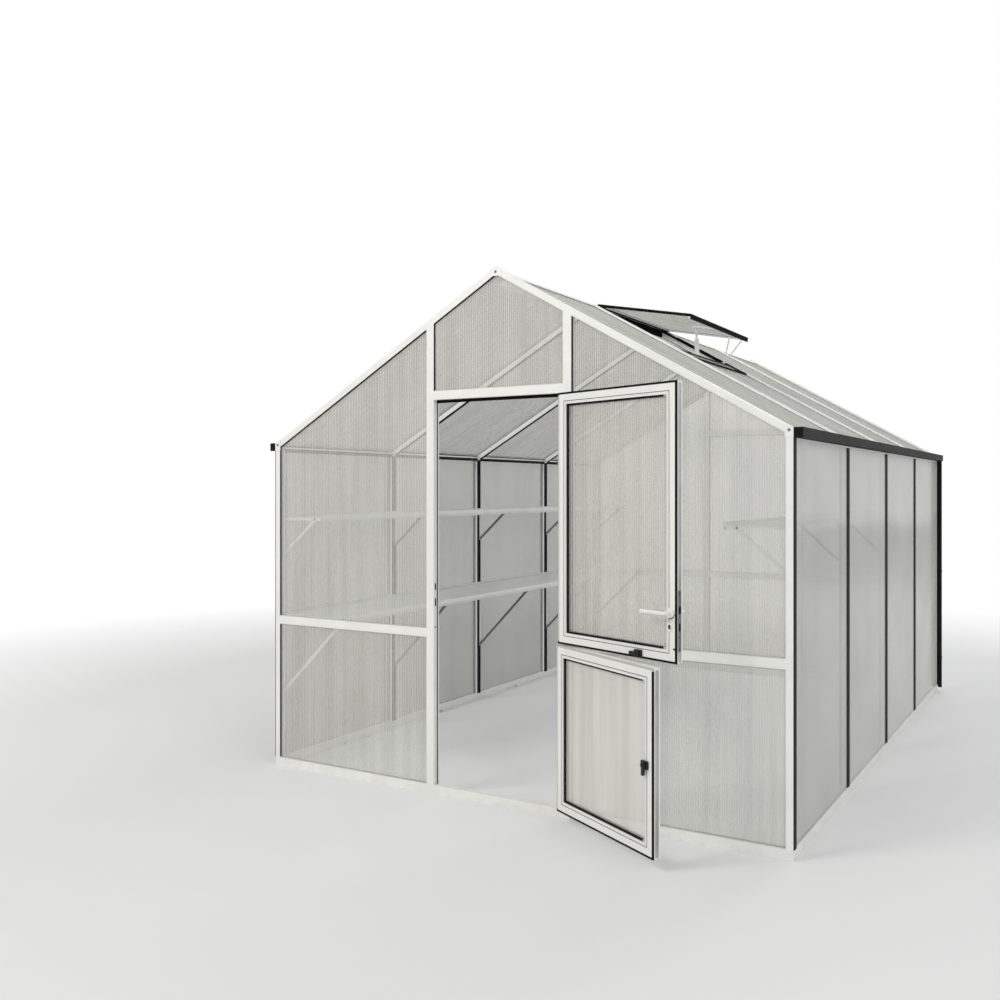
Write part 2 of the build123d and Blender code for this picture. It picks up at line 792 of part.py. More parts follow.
with BuildPart() as vent_pane:
    with BuildSketch(vent_under.offset(vent_pane_under)):
        Polygon(
            *rectangle_corners(
                vent_bar - bite,
                vent_length - vent_bar + bite,
                vent_bar - bite - vent_half,
                vent_half - vent_bar + bite,
            ),
            align=None,
        )
    extrude(amount=sheet)
save(vent_pane, "vent_pane")

# Ram that props the vent: a foot on the curb and a shoe under the vent's lower bar
half_opener = opener_width / 2
ram_foot = roof_face.from_local_coords((curb_inner_end - half_opener, 0, -opener_foot / 2))
opener_reach = vent_length - opener_setback
ram_line = vent_under.from_local_coords((opener_reach, 0, -opener_shoe / 2)) - ram_foot
ram_plane = Plane(origin=ram_foot, x_dir=(0, 1, 0), z_dir=ram_line)
with BuildPart() as vent_opener:
    with BuildSketch(vent_under.offset(-opener_shoe)):
        Polygon(
            *rectangle_corners(
                opener_reach - half_opener, vent_length - vent_bar / 2, -half_opener, half_opener
            ),
            align=None,
        )
    extrude(amount=opener_shoe)
    with BuildSketch(roof_face.offset(-opener_foot)):
        Polygon(
            *rectangle_corners(curb_inner_end - opener_width, curb_inner_end, -half_opener, half_opener),
            align=None,
        )
    extrude(amount=opener_foot)
    with BuildSketch(ram_plane):
        Circle(opener_tube_radius)
    extrude(amount=opener_tube_share * ram_line.length)
    with BuildSketch(ram_plane):
        Circle(opener_rod_radius)
    extrude(amount=ram_line.length)
save(vent_opener, "vent_opener")

# Thin stays at the far side of the vent
stay_y = curb_inner_half - stay_radius - clear
stay_foot_reach = curb_inner_end - stay_foot_setback
stay_foot = roof_face.from_local_coords((stay_foot_reach, stay_y, -stay_foot_height / 2))
stay_shoe_end = vent_length - vent_lip_width - fit
with BuildPart() as vent_stays:
    with BuildSketch(vent_under.offset(-stay_shoe)):
        Polygon(
            *rectangle_corners(
                stay_shoe_end - stay_shoe_length,
                stay_shoe_end,
                stay_y - stay_radius,
                stay_y + stay_radius,
            ),
            align=None,
        )
    extrude(amount=stay_shoe)
    with BuildSketch(roof_face.offset(-stay_foot_height)):
        Polygon(
            *rectangle_corners(
                stay_foot_reach - stay_foot_length / 2,
                stay_foot_reach + stay_foot_length / 2,
                stay_y - stay_radius,
                curb_inner_half,
            ),
            align=None,
        )
    extrude(amount=stay_foot_height)
    for stay_top in stay_tops:
        stay_head = vent_under.from_local_coords((vent_length - stay_top, stay_y, -stay_shoe / 2))
        stay_line = stay_head - stay_foot
        with BuildSketch(Plane(origin=stay_foot, x_dir=(0, 1, 0), z_dir=stay_line)):
            Circle(stay_radius)
        extrude(amount=stay_line.length)
save(vent_stays, "vent_stays")


def shelf_section(top, depth):
    """Outlines of the plate, the front lip and the upstand at the wall."""
    wall_edge = post_body_in - shelf_wall_gap
    return [
        rectangle_corners(wall_edge - depth, wall_edge, top - shelf_plate, top),
        rectangle_corners(wall_edge - depth, wall_edge - depth + shelf_plate, top - shelf_lip, top),
        rectangle_corners(wall_edge - shelf_plate, wall_edge, top - shelf_plate, top + shelf_upstand),
    ]


def bracket_section(wall_x, top, depth, drop):
    """Outlines of the foot, the arm and the strut of a bracket that stands at wall_x."""
    arm_top = top - shelf_plate
    tip = post_body_in - shelf_wall_gap - depth + shelf_plate + bracket_tip_gap
    return [
        rectangle_corners(wall_x - bracket_foot, wall_x, arm_top - drop, arm_top),
        rectangle_corners(tip, wall_x, arm_top - bracket_arm, arm_top),
        [
            (wall_x - bracket_foot / 2, arm_top - drop),
            (tip + strut_setback, arm_top - bracket_arm / 2),
            (tip + strut_setback + bracket_strut, arm_top - bracket_arm / 2),
            (wall_x - bracket_foot / 2, arm_top - drop + bracket_strut),
        ],
    ]


# Shelves: one on each side, and a deeper bench below the left one
shelf_start = half_depth + clear
shelf_end = length - half_depth - clear
with BuildPart() as right_shelf:
    with BuildSketch(across(shelf_end)):
        for outline in shelf_section(shelf_top, shelf_depth):
            Polygon(*outline, align=None)
    extrude(amount=shelf_end - shelf_start)
save(right_shelf, "right_shelf")

with BuildPart() as left_shelf:
    add(mirror(right_shelf.part, about=Plane.YZ, mode=Mode.PRIVATE))
save(left_shelf, "left_shelf")

with BuildPart() as left_bench:
    with BuildSketch(across(shelf_end)):
        for outline in shelf_section(bench_top, bench_depth):
            Polygon(*outline, align=None)
    extrude(amount=shelf_end - shelf_start)
    mirror(about=Plane.YZ, mode=Mode.REPLACE)
save(left_bench, "left_bench")

# Brackets on the wall posts, and at the ends on the corner posts
post_stations = [number * bay + bracket_width / 2 for number in range(1, bay_count)]
end_stations = [half_depth + bracket_width, length - half_depth]
end_bracket_x = wall_pane_in - shelf_wall_gap
with BuildPart() as shelf_brackets:
    for station in post_stations:
        with BuildSketch(across(station)):
            for outline in bracket_section(post_body_in, shelf_top, shelf_depth, shelf_bracket_drop):
                Polygon(*outline, align=None)
        extrude(amount=bracket_width)
    for station in end_stations:
        with BuildSketch(across(station)):
            for outline in bracket_section(end_bracket_x, shelf_top, shelf_depth, shelf_bracket_drop):
                Polygon(*outline, align=None)
        extrude(amount=bracket_width)
    mirror(about=Plane.YZ)
save(shelf_brackets, "shelf_brackets")

with BuildPart() as bench_brackets:
    for station in post_stations:
        with BuildSketch(across(station)):
            for outline in bracket_section(post_body_in, bench_top, bench_depth, bench_bracket_drop):
                Polygon(*outline, align=None)
        extrude(amount=bracket_width)
    for station in end_stations:
        with BuildSketch(across(station)):
            for outline in bracket_section(end_bracket_x, bench_top, bench_depth, bench_bracket_drop):
                Polygon(*outline, align=None)
        extrude(amount=bracket_width)
    mirror(about=Plane.YZ, mode=Mode.REPLACE)
save(bench_brackets, "bench_brackets")

# Leaves of the stable door. In the plane of a leaf x runs from the hinge axis to the free
# edge and y points outwards; the face plane of a leaf is upright and looks inwards.
leaf_outer = -knuckle_radius
leaf_inner = leaf_outer - leaf_thickness
hinge_axis_y = half_depth - stop_thickness - stop_gap + leaf_inner
leaf_start = hinge_axis_x - door_in + door_gap
leaf_end = hinge_axis_x + door_in - door_gap
lower_bottom = sill_height + door_gap
lower_top = leaf_split - door_gap / 2
upper_bottom = leaf_split + door_gap / 2
upper_top = lintel_underside - door_gap
pane_outer = (leaf_outer + leaf_inner + sheet) / 2
pane_inner = pane_outer - sheet
groove_outer = leaf_outer - edge_groove_start


def leaf_plane(opening):
    """Plane of a leaf that stands open by an angle in degrees."""
    turn = radians(180.0 + opening)
    return Plane(origin=(hinge_axis_x, hinge_axis_y, 0), x_dir=(cos(turn), sin(turn), 0), z_dir=(0, 0, 1))


def facing(leaf, depth):
    """Upright plane of a leaf at a depth, from which positive goes to the inner side."""
    return Plane(origin=leaf.from_local_coords((0, depth, 0)), x_dir=leaf.x_dir, z_dir=-leaf.y_dir)


def leaf_corners(bottom, top, inset):
    """Outline of a leaf, drawn in by an inset."""
    return rectangle_corners(leaf_start + inset, leaf_end - inset, bottom + inset, top - inset)


def ring(bottom, top, inset, width):
    """Sketch of a frame that runs round a leaf at an inset."""
    Polygon(*leaf_corners(bottom, top, inset), align=None)
    Polygon(*leaf_corners(bottom, top, inset + width), align=None, mode=Mode.SUBTRACT)


def leaf_frame(leaf, bottom, top):
    """Stiles and rails of a leaf, grooved for the sheet, the seals and the bead."""
    with BuildSketch(facing(leaf, leaf_outer)) as outline:
        ring(bottom, top, 0, leaf_face)
    extrude(outline.sketch, amount=leaf_thickness)
    with BuildSketch(facing(leaf, pane_outer + fit)) as outline:
        Polygon(*leaf_corners(bottom, top, leaf_face - bite - slot_spare), align=None)
    extrude(outline.sketch, amount=seat, mode=Mode.SUBTRACT)
    with BuildSketch(facing(leaf, leaf_inner + rim_seal_depth)) as outline:
        ring(bottom, top, 0, rim_seal_width)
    extrude(outline.sketch, amount=rim_seal_depth, mode=Mode.SUBTRACT)
    with BuildSketch(facing(leaf, leaf_inner + bead_step)) as outline:
        ring(bottom, top, bead_line, bead_line_width)
    extrude(outline.sketch, amount=bead_step, mode=Mode.SUBTRACT)
    with BuildSketch(facing(leaf, groove_outer)) as outline:
        ring(bottom, top, 0, edge_groove_depth)
    extrude(outline.sketch, amount=edge_groove_width, mode=Mode.SUBTRACT)


def leaf_seals(leaf, bottom, top):
    """Seal round the rim and the two seals that hold the sheet."""
    with BuildSketch(facing(leaf, leaf_inner + rim_seal_depth)) as outline:
        ring(bottom, top, 0, rim_seal_width)
    extrude(outline.sketch, amount=rim_seal_depth)
    with BuildSketch(facing(leaf, pane_inner)) as outline:
        ring(bottom, top, leaf_face, glazing_seal)
    extrude(outline.sketch, amount=pane_inner - leaf_inner - glazing_seal_recess)
    with BuildSketch(facing(leaf, leaf_outer - glazing_seal_recess)) as outline:
        ring(bottom, top, leaf_face, glazing_seal)
    extrude(outline.sketch, amount=leaf_outer - glazing_seal_recess - pane_outer)


def leaf_hinges(leaf, heights):
    """Upper halves of the hinges, with their pins and their plates on the leaf."""
    for height in heights:
        with BuildSketch(leaf.offset(height + knuckle_gap / 2)) as outline:
            Circle(knuckle_radius)
            Polygon(
                (0, 0),
                (leaf_start + arm_lap, 0),
                (leaf_start + arm_lap, leaf_outer),
                (0, leaf_outer),
                align=None,
            )
        extrude(outline.sketch, amount=knuckle_length)
        with BuildSketch(leaf.offset(height + knuckle_gap / 2)) as outline:
            Circle(hinge_pin_radius)
        extrude(outline.sketch, amount=-hinge_pin_length)
        with BuildSketch(leaf.offset(height + knuckle_gap / 2)) as outline:
            Polygon(
                (leaf_start + clear, leaf_outer),
                (leaf_start + arm_lap + hinge_plate_reach, leaf_outer),
                (leaf_start + arm_lap + hinge_plate_reach, leaf_outer + hinge_plate),
                (leaf_start + clear, leaf_outer + hinge_plate),
                align=None,
            )
        extrude(outline.sketch, amount=knuckle_length)


def latch_base(leaf, distance, height, wide, tall):
    """Base of a turn latch on the inner face of a leaf, with the bore for the pin."""
    with BuildSketch(facing(leaf, leaf_inner)) as outline:
        with Locations((distance, height)):
            RectangleRounded(wide, tall, latch_corner)
            Circle(latch_pin_radius + latch_pin_clearance, mode=Mode.SUBTRACT)
    extrude(outline.sketch, amount=latch_thickness)


def latch_arm(leaf, distance, height, turn):
    """Knob of a turn latch with its pin; turn is the direction of the arm in degrees."""
    with BuildSketch(facing(leaf, leaf_inner - latch_thickness - latch_gap)) as outline:
        with Locations(Location((distance, height), turn)):
            with Locations(((latch_arm_length - latch_arm_width / 2) / 2, 0)):
                SlotCenterToCenter(latch_arm_length - latch_arm_width / 2, latch_arm_width)
            Circle(latch_knob_radius)
    extrude(outline.sketch, amount=latch_arm_thickness)
    with BuildSketch(facing(leaf, leaf_inner - latch_gap)) as outline:
        with Locations((distance, height)):
            Circle(latch_pin_radius)
    extrude(outline.sketch, amount=latch_thickness)


upper_leaf = leaf_plane(upper_leaf_open)
lower_leaf = leaf_plane(lower_leaf_open)
upper_hinges = (upper_bottom + hinge_end_distance, upper_top - hinge_end_distance)
lower_hinges = (lower_bottom + hinge_end_distance, lower_top - hinge_end_distance)
spindle_x = leaf_end - handle_backset
upper_latch_x = leaf_end - upper_latch_from_edge
lower_latch_x = leaf_end - lower_latch_from_edge

# Lower halves of the hinges, on the door post
with BuildPart() as hinge_brackets:
    for height in upper_hinges + lower_hinges:
        with BuildSketch(Plane.XY.offset(height - knuckle_gap / 2 - knuckle_length)):
            with Locations((hinge_axis_x, hinge_axis_y)):
                Circle(knuckle_radius)
            Polygon(
                (hinge_axis_x, hinge_axis_y),
                (hinge_axis_x + hinge_arm, hinge_axis_y),
                (hinge_axis_x + hinge_arm, -half_depth),
                (hinge_axis_x, -half_depth),
                align=None,
            )
            Polygon(
                (hinge_axis_x, -half_depth - hinge_plate),
                (hinge_axis_x + hinge_plate_reach, -half_depth - hinge_plate),
                (hinge_axis_x + hinge_plate_reach, -half_depth),
                (hinge_axis_x, -half_depth),
                align=None,
            )
            with Locations((hinge_axis_x, hinge_axis_y)):
                Circle(hinge_pin_radius + hinge_pin_clearance, mode=Mode.SUBTRACT)
        extrude(amount=knuckle_length)
save(hinge_brackets, "hinge_brackets")

# Upper leaf with the lever handle
with BuildPart() as upper_leaf_frame:
    leaf_frame(upper_leaf, upper_bottom, upper_top)
    with BuildSketch(facing(upper_leaf, leaf_outer)):
        with Locations((spindle_x, handle_height)):
            Circle(spindle_radius + spindle_clearance)
    extrude(amount=leaf_thickness, mode=Mode.SUBTRACT)
save(upper_leaf_frame, "upper_leaf_frame")

with BuildPart() as upper_leaf_pane:
    with BuildSketch(facing(upper_leaf, pane_outer)):
        Polygon(*leaf_corners(upper_bottom, upper_top, leaf_face - bite), align=None)
    extrude(amount=sheet)
save(upper_leaf_pane, "upper_leaf_pane")

with BuildPart() as upper_leaf_seals:
    leaf_seals(upper_leaf, upper_bottom, upper_top)
save(upper_leaf_seals, "upper_leaf_seals")

with BuildPart() as upper_leaf_hinges:
    leaf_hinges(upper_leaf, upper_hinges)
save(upper_leaf_hinges, "upper_leaf_hinges")

with BuildPart() as handle_roses:
    for rose_start in (leaf_inner, leaf_outer + rose_thickness):
        with BuildSketch(facing(upper_leaf, rose_start)):
            with Locations((spindle_x, handle_height)):
                Circle(rose_radius)
                Circle(spindle_radius + spindle_clearance, mode=Mode.SUBTRACT)
        extrude(amount=rose_thickness)
save(handle_roses, "handle_roses")

neck_start = rose_thickness + rose_gap
with BuildPart() as lever_handle:
    with BuildSketch(facing(upper_leaf, leaf_outer + lever_stand)):
        with Locations((spindle_x, handle_height)):
            Circle(spindle_radius)
    extrude(amount=leaf_thickness + 2 * lever_stand)
    for side, face in ((1, leaf_outer), (-1, leaf_inner)):
        with BuildSketch(facing(upper_leaf, face + side * neck_start)):
            with Locations((spindle_x, handle_height)):
                Circle(lever_neck_radius)
        extrude(amount=-side * (lever_stand - neck_start))
        bar_end = upper_leaf.from_local_coords((spindle_x, face + side * lever_stand, handle_height))
        with BuildSketch(Plane(origin=bar_end, x_dir=(0, 0, 1), z_dir=-upper_leaf.x_dir)):
            Circle(lever_radius)
        extrude(amount=lever_length)
        with Locations(Pos(*bar_end)):
            Sphere(lever_radius)
        with Locations(Pos(*(bar_end - upper_leaf.x_dir * lever_length))):
            Sphere(lever_radius)
save(lever_handle, "lever_handle")

with BuildPart() as upper_latch_base:
    latch_base(upper_leaf, upper_latch_x, upper_latch_height, latch_long, latch_wide)
save(upper_latch_base, "upper_latch_base")

with BuildPart() as upper_latch:
    latch_arm(upper_leaf, upper_latch_x, upper_latch_height, 180)
save(upper_latch, "upper_latch")

# Lower leaf
with BuildPart() as lower_leaf_frame:
    leaf_frame(lower_leaf, lower_bottom, lower_top)
save(lower_leaf_frame, "lower_leaf_frame")

with BuildPart() as lower_leaf_pane:
    with BuildSketch(facing(lower_leaf, pane_outer)):
        Polygon(*leaf_corners(lower_bottom, lower_top, leaf_face - bite), align=None)
    extrude(amount=sheet)
save(lower_leaf_pane, "lower_leaf_pane")

with BuildPart() as lower_leaf_seals:
    leaf_seals(lower_leaf, lower_bottom, lower_top)
save(lower_leaf_seals, "lower_leaf_seals")

with BuildPart() as lower_leaf_hinges:
    leaf_hinges(lower_leaf, lower_hinges)
save(lower_leaf_hinges, "lower_leaf_hinges")

with BuildPart() as lower_latch_base:
    latch_base(lower_leaf, lower_latch_x, lower_latch_height, latch_long, latch_wide)
save(lower_latch_base, "lower_latch_base")

with BuildPart() as lower_latch:
    latch_arm(lower_leaf, lower_latch_x, lower_latch_height, -90)
save(lower_latch, "lower_latch")
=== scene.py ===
import logging
import math
from dataclasses import dataclass, field, replace
from enum import Enum

import bmesh
import bpy
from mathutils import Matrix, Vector


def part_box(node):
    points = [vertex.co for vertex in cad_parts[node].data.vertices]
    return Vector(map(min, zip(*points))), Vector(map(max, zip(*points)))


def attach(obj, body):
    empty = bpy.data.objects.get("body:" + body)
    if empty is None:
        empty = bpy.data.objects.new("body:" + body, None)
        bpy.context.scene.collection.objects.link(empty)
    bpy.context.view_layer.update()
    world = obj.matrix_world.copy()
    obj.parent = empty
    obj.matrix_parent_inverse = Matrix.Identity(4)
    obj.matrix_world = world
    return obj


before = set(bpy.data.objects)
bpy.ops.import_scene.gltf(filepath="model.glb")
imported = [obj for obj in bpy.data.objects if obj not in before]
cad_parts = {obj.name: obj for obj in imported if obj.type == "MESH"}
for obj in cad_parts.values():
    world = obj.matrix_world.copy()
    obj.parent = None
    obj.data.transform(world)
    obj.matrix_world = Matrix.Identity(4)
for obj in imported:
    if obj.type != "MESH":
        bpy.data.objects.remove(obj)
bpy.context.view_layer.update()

log = logging.getLogger("greenhouse")
# Lengths are in metres. Points closer than DOUBLES are one, a bend below STRAIGHT is no corner.
MM = 0.001
DOUBLES = 0.01 * MM
STRAIGHT = 1e-6
BEVEL_STEPS = 2
BEVEL_PROFILE = 0.6
HEXAGON = 6
WHITE = (1.0, 1.0, 1.0)

# A spot is a place and the way that its fastener looks, a path is a polyline.
Colour = tuple[float, float, float]
Point = tuple[float, float, float]
Pair = tuple[float, float]
Path = list[Vector]
Spot = tuple[Vector, Vector]

X = Vector((1.0, 0.0, 0.0))
Y = Vector((0.0, 1.0, 0.0))
Z = Vector((0.0, 0.0, 1.0))


class Body(Enum):
    """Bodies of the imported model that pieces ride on."""

    HOUSE = "greenhouse"
    UPPER_LEAF = "upper_leaf"
    LOWER_LEAF = "lower_leaf"
    LEVER = "lever"
    UPPER_LATCH = "upper_turn_latch"
    LOWER_LATCH = "lower_turn_latch"


class Slot(Enum):
    """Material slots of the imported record."""

    METAL = "aluminium_frame"
    SHEET = "twin_wall_sheet"
    DARK = "dark_rainware"
    SEAL = "black_seal"
    BLACK = "black_plastic"
    SHELF = "shelf_metal"


class Side(Enum):
    """The two long sides of the house, by the sign of X."""

    LEFT = -1.0
    RIGHT = 1.0


# Finishes


class Shader:
    """Node tree of a finish or of the world, with short calls that add and join nodes."""

    def __init__(self, owner: bpy.types.Material | bpy.types.World, output: str = "Material") -> None:
        """Empty the tree of its owner and give it an output.

        Args:
            owner: Material or world that the tree belongs to.
            output: Kind of output, Material or World.
        """
        owner.use_nodes = True
        self.owner = owner
        self.tree = owner.node_tree
        self.tree.nodes.clear()
        self.output = self.add("Output" + output)

    def add(self, kind: str, **inputs: object) -> bpy.types.Node:
        """Add a node and set its inputs or properties.

        Args:
            kind: Node type without the ShaderNode prefix.
            **inputs: Values by socket name with underscores, or by property name.

        Returns:
            The new node.
        """
        node = self.tree.nodes.new("ShaderNode" + kind)
        for key, value in inputs.items():
            socket = node.inputs.get(key.replace("_", " "))
            if socket is None:
                setattr(node, key, value)
            elif isinstance(value, bpy.types.NodeSocket):
                self.link(value, socket)
            else:
                socket.default_value = value
        return node

    def link(self, source: bpy.types.NodeSocket, target: bpy.types.NodeSocket) -> None:
        """Join two sockets."""
        self.tree.links.new(source, target)

    def finish(self, surface: bpy.types.NodeSocket) -> bpy.types.Material | bpy.types.World:
        """Join the surface to the output and hand over the owner."""
        self.link(surface, self.output.inputs["Surface"])
        return self.owner

    def place(self, scale: Point = (1.0, 1.0, 1.0), turn: float = 0.0) -> bpy.types.NodeSocket:
        """Give object coordinates, turned about Z and then scaled.

        Args:
            scale: Scale along each axis.
            turn: Turn about Z in degrees.

        Returns:
            Vector socket.
        """
        where = self.add("TexCoord").outputs["Object"]
        if turn:
            spin = self.add("Mapping", Vector=where)
            spin.inputs["Rotation"].default_value = (0.0, 0.0, math.radians(turn))
            where = spin.outputs["Vector"]
        mapping = self.add("Mapping", Vector=where)
        mapping.inputs["Scale"].default_value = scale
        return mapping.outputs["Vector"]

    def noise(self, vector: bpy.types.NodeSocket, scale: float, detail: float = 2.0) -> bpy.types.NodeSocket:
        """Give a noise from 0 to 1.

        Args:
            vector: Coordinates.
            scale: Scale of the noise.
            detail: Octaves.

        Returns:
            Factor socket.
        """
        return self.add("TexNoise", Vector=vector, Scale=scale, Detail=detail).outputs["Fac"]

    def ramp(self, value: bpy.types.NodeSocket, low: float, high: float, start: float = 0.0,
             end: float = 1.0) -> bpy.types.NodeSocket:
        """Map a value from start..end to low..high, clamped.

        Args:
            value: Value to map.
            low: Result at start.
            high: Result at end.
            start: Low end of the value.
            end: High end of the value.

        Returns:
            Value socket.
        """
        node = self.add("MapRange", Value=value, From_Min=start, From_Max=end, To_Min=low, To_Max=high)
        return node.outputs["Result"]

    def math(self, operation: str, *values: bpy.types.NodeSocket | float) -> bpy.types.NodeSocket:
        """Add a math node. A comparison gives 1 where it holds and 0 elsewhere.

        Args:
            operation: Math operation.
            *values: Its inputs in order, as sockets or numbers.

        Returns:
            Value socket.
        """
        node = self.add("Math", operation=operation)
        for socket, value in zip(node.inputs, values):
            if isinstance(value, bpy.types.NodeSocket):
                self.link(value, socket)
            else:
                socket.default_value = value
        return node.outputs[0]

    def vector(self, operation: str, first: bpy.types.NodeSocket, second: Point) -> bpy.types.NodeSocket:
        """Add a vector math node that gives a number.

        Args:
            operation: DOT_PRODUCT or DISTANCE.
            first: First vector, as a socket.
            second: Second vector.

        Returns:
            Value socket.
        """
        node = self.add("VectorMath", operation=operation)
        self.link(first, node.inputs[0])
        node.inputs[1].default_value = second
        return node.outputs["Value"]

    def mix(self, factor: bpy.types.NodeSocket, first: bpy.types.NodeSocket,
            second: bpy.types.NodeSocket) -> bpy.types.NodeSocket:
        """Mix two surfaces.

        Args:
            factor: Share of the second surface.
            first: First surface.
            second: Second surface.

        Returns:
            Surface socket.
        """
        node = self.add("MixShader")
        for socket, value in zip(node.inputs, (factor, first, second)):
            self.link(value, socket)
        return node.outputs[0]

    def gloss(self, value: bpy.types.NodeSocket, middle: float, change: Pair) -> bpy.types.NodeSocket:
        """Turn a value from 0 to 1 into a roughness.

        Args:
            value: Value to turn.
            middle: Plain roughness.
            change: What is added to it at 0 and at 1.

        Returns:
            Value socket.
        """
        return self.ramp(value, middle + change[0], middle + change[1])

    def blend(self, factor: bpy.types.NodeSocket, first: Colour | bpy.types.NodeSocket,
              second: Colour) -> bpy.types.NodeSocket:
        """Mix two colours.

        Args:
            factor: Share of the second colour.
            first: First colour, or a socket that gives it.
            second: Second colour.

        Returns:
            Colour socket.
        """
        node = self.add("Mix", data_type="RGBA")
        self.link(factor, node.inputs[0])
        if isinstance(first, bpy.types.NodeSocket):
            self.link(first, node.inputs[6])
        else:
            node.inputs[6].default_value = (*first, 1.0)
        node.inputs[7].default_value = (*second, 1.0)
        return node.outputs[2]

    def bump(self, height: bpy.types.NodeSocket, strength: float, distance: float) -> bpy.types.NodeSocket:
        """Turn a height into a normal.

        Args:
            height: Height from 0 to 1.
            strength: Strength of the bump.
            distance: Depth in metres.

        Returns:
            Normal socket.
        """
        return self.add("Bump", Height=height, Strength=strength, Distance=distance).outputs["Normal"]


@dataclass(frozen=True)
class Aluminium:
    """Aluminium bar: faint drawing lines, a cloudy sheen and a little dust low down."""

    name: str
    tone: Colour
    shade: Colour
    metallic: float
    roughness: float
    gloss_change: Pair = (-0.05, 0.07)
    cloud_scale: float = 7.0
    cloud_edges: Pair = (0.35, 0.70)
    line_stretch: Point = (90.0, 90.0, 9.0)
    line_scale: float = 9.0
    line_strength: float = 0.10
    line_depth: float = 0.3 * MM
    dust: Colour = (0.50, 0.46, 0.38)
    dust_height: float = 90.0 * MM
    dust_share: float = 0.18
    dust_scale: float = 26.0
    dust_edges: Pair = (0.40, 0.70)

    def build(self) -> bpy.types.Material:
        """Build the node tree.

        Returns:
            The finish.
        """
        sh = Shader(bpy.data.materials.new(self.name))
        cloud = sh.noise(sh.place(), self.cloud_scale, 3.0)
        lines = sh.noise(sh.place(self.line_stretch), self.line_scale, 1.0)
        clean = sh.blend(sh.ramp(cloud, 0.0, 1.0, *self.cloud_edges), self.tone, self.shade)
        height = sh.add("SeparateXYZ", Vector=sh.add("TexCoord").outputs["Object"]).outputs["Z"]
        low = sh.ramp(height, self.dust_share, 0.0, 0.0, self.dust_height)
        speck = sh.ramp(sh.noise(sh.place(), self.dust_scale, 5.0), 0.0, 1.0, *self.dust_edges)
        shader = sh.add("BsdfPrincipled", Metallic=self.metallic)
        sh.link(sh.blend(sh.math("MULTIPLY", low, speck), clean, self.dust), shader.inputs["Base Color"])
        sh.link(sh.gloss(lines, self.roughness, self.gloss_change), shader.inputs["Roughness"])
        sh.link(sh.bump(lines, self.line_strength, self.line_depth), shader.inputs["Normal"])
        return sh.finish(shader.outputs["BSDF"])


@dataclass(frozen=True)
class SheetLook:
    """Tones of a sheet, how much of them shows and how much it mirrors."""

    tint: Colour
    haze: Colour
    alpha: float
    shine: float = 0.5


@dataclass(frozen=True)
class TwinWall:
    """Skin of a twin-wall sheet: a warm grey haze that streaks along the flutes and lets light on."""

    name: str
    look: SheetLook
    streak: Point
    turn: float = 0.0
    streak_edges: Pair = (0.34, 0.66)
    lamp_alpha: float = 0.05
    roughness: float = 0.16
    index: float = 1.58

    def build(self) -> bpy.types.Material:
        """Build the node tree.

        Returns:
            The finish.
        """
        sh = Shader(bpy.data.materials.new(self.name))
        streaks = sh.noise(sh.place(self.streak, self.turn), 1.0, 2.0)
        tone = sh.blend(sh.ramp(streaks, 0.0, 1.0, *self.streak_edges), self.look.tint, self.look.haze)
        shader = sh.add(
            "BsdfPrincipled", Roughness=self.roughness, IOR=self.index, Specular_IOR_Level=self.look.shine
        )
        sh.link(tone, shader.inputs["Base Color"])
        path = sh.add("LightPath").outputs
        light = sh.math("MAXIMUM", path["Is Shadow Ray"], path["Is Diffuse Ray"])
        sh.link(sh.ramp(light, self.look.alpha, self.lamp_alpha), shader.inputs["Alpha"])
        return sh.finish(shader.outputs["BSDF"])


@dataclass(frozen=True)
class FluteWeb:
    """Web between the two skins of a sheet, seen as a pale line."""

    name: str = "flute_web"
    tone: Colour = (0.90, 0.895, 0.86)
    shade: Colour = (0.80, 0.795, 0.76)
    roughness: float = 0.3
    patch_scale: float = 3.0
    patch_edges: Pair = (0.3, 0.7)

    def build(self) -> bpy.types.Material:
        """Build the node tree.

        Returns:
            The finish.
        """
        sh = Shader(bpy.data.materials.new(self.name))
        patch = sh.ramp(sh.noise(sh.place(), self.patch_scale, 1.0), 0.0, 1.0, *self.patch_edges)
        shader = sh.add("BsdfPrincipled", Roughness=self.roughness)
        sh.link(sh.blend(patch, self.tone, self.shade), shader.inputs["Base Color"])
        return sh.finish(shader.outputs["BSDF"])


@dataclass(frozen=True)
class Coating:
    """Paint, rubber, plastic or zinc: one tone with a fine grain and slight wear in its gloss."""

    name: str
    tone: Colour
    worn: Colour
    roughness: float
    grain: float
    depth: float = 0.2 * MM
    metallic: float = 0.0
    shine: float = 0.5
    strength: float = 0.2
    patch_scale: float = 6.0
    patch_edges: Pair = (0.42, 0.75)
    gloss_change: Pair = (-0.07, 0.09)

    def build(self) -> bpy.types.Material:
        """Build the node tree.

        Returns:
            The finish.
        """
        sh = Shader(bpy.data.materials.new(self.name))
        patch = sh.noise(sh.place(), self.patch_scale, 4.0)
        tone = sh.blend(sh.ramp(patch, 0.0, 1.0, *self.patch_edges), self.tone, self.worn)
        grain = sh.noise(sh.place(), self.grain, 2.0)
        shader = sh.add("BsdfPrincipled", Metallic=self.metallic, Specular_IOR_Level=self.shine)
        sh.link(tone, shader.inputs["Base Color"])
        sh.link(sh.gloss(patch, self.roughness, self.gloss_change), shader.inputs["Roughness"])
        sh.link(sh.bump(grain, self.strength, self.depth), shader.inputs["Normal"])
        return sh.finish(shader.outputs["BSDF"])


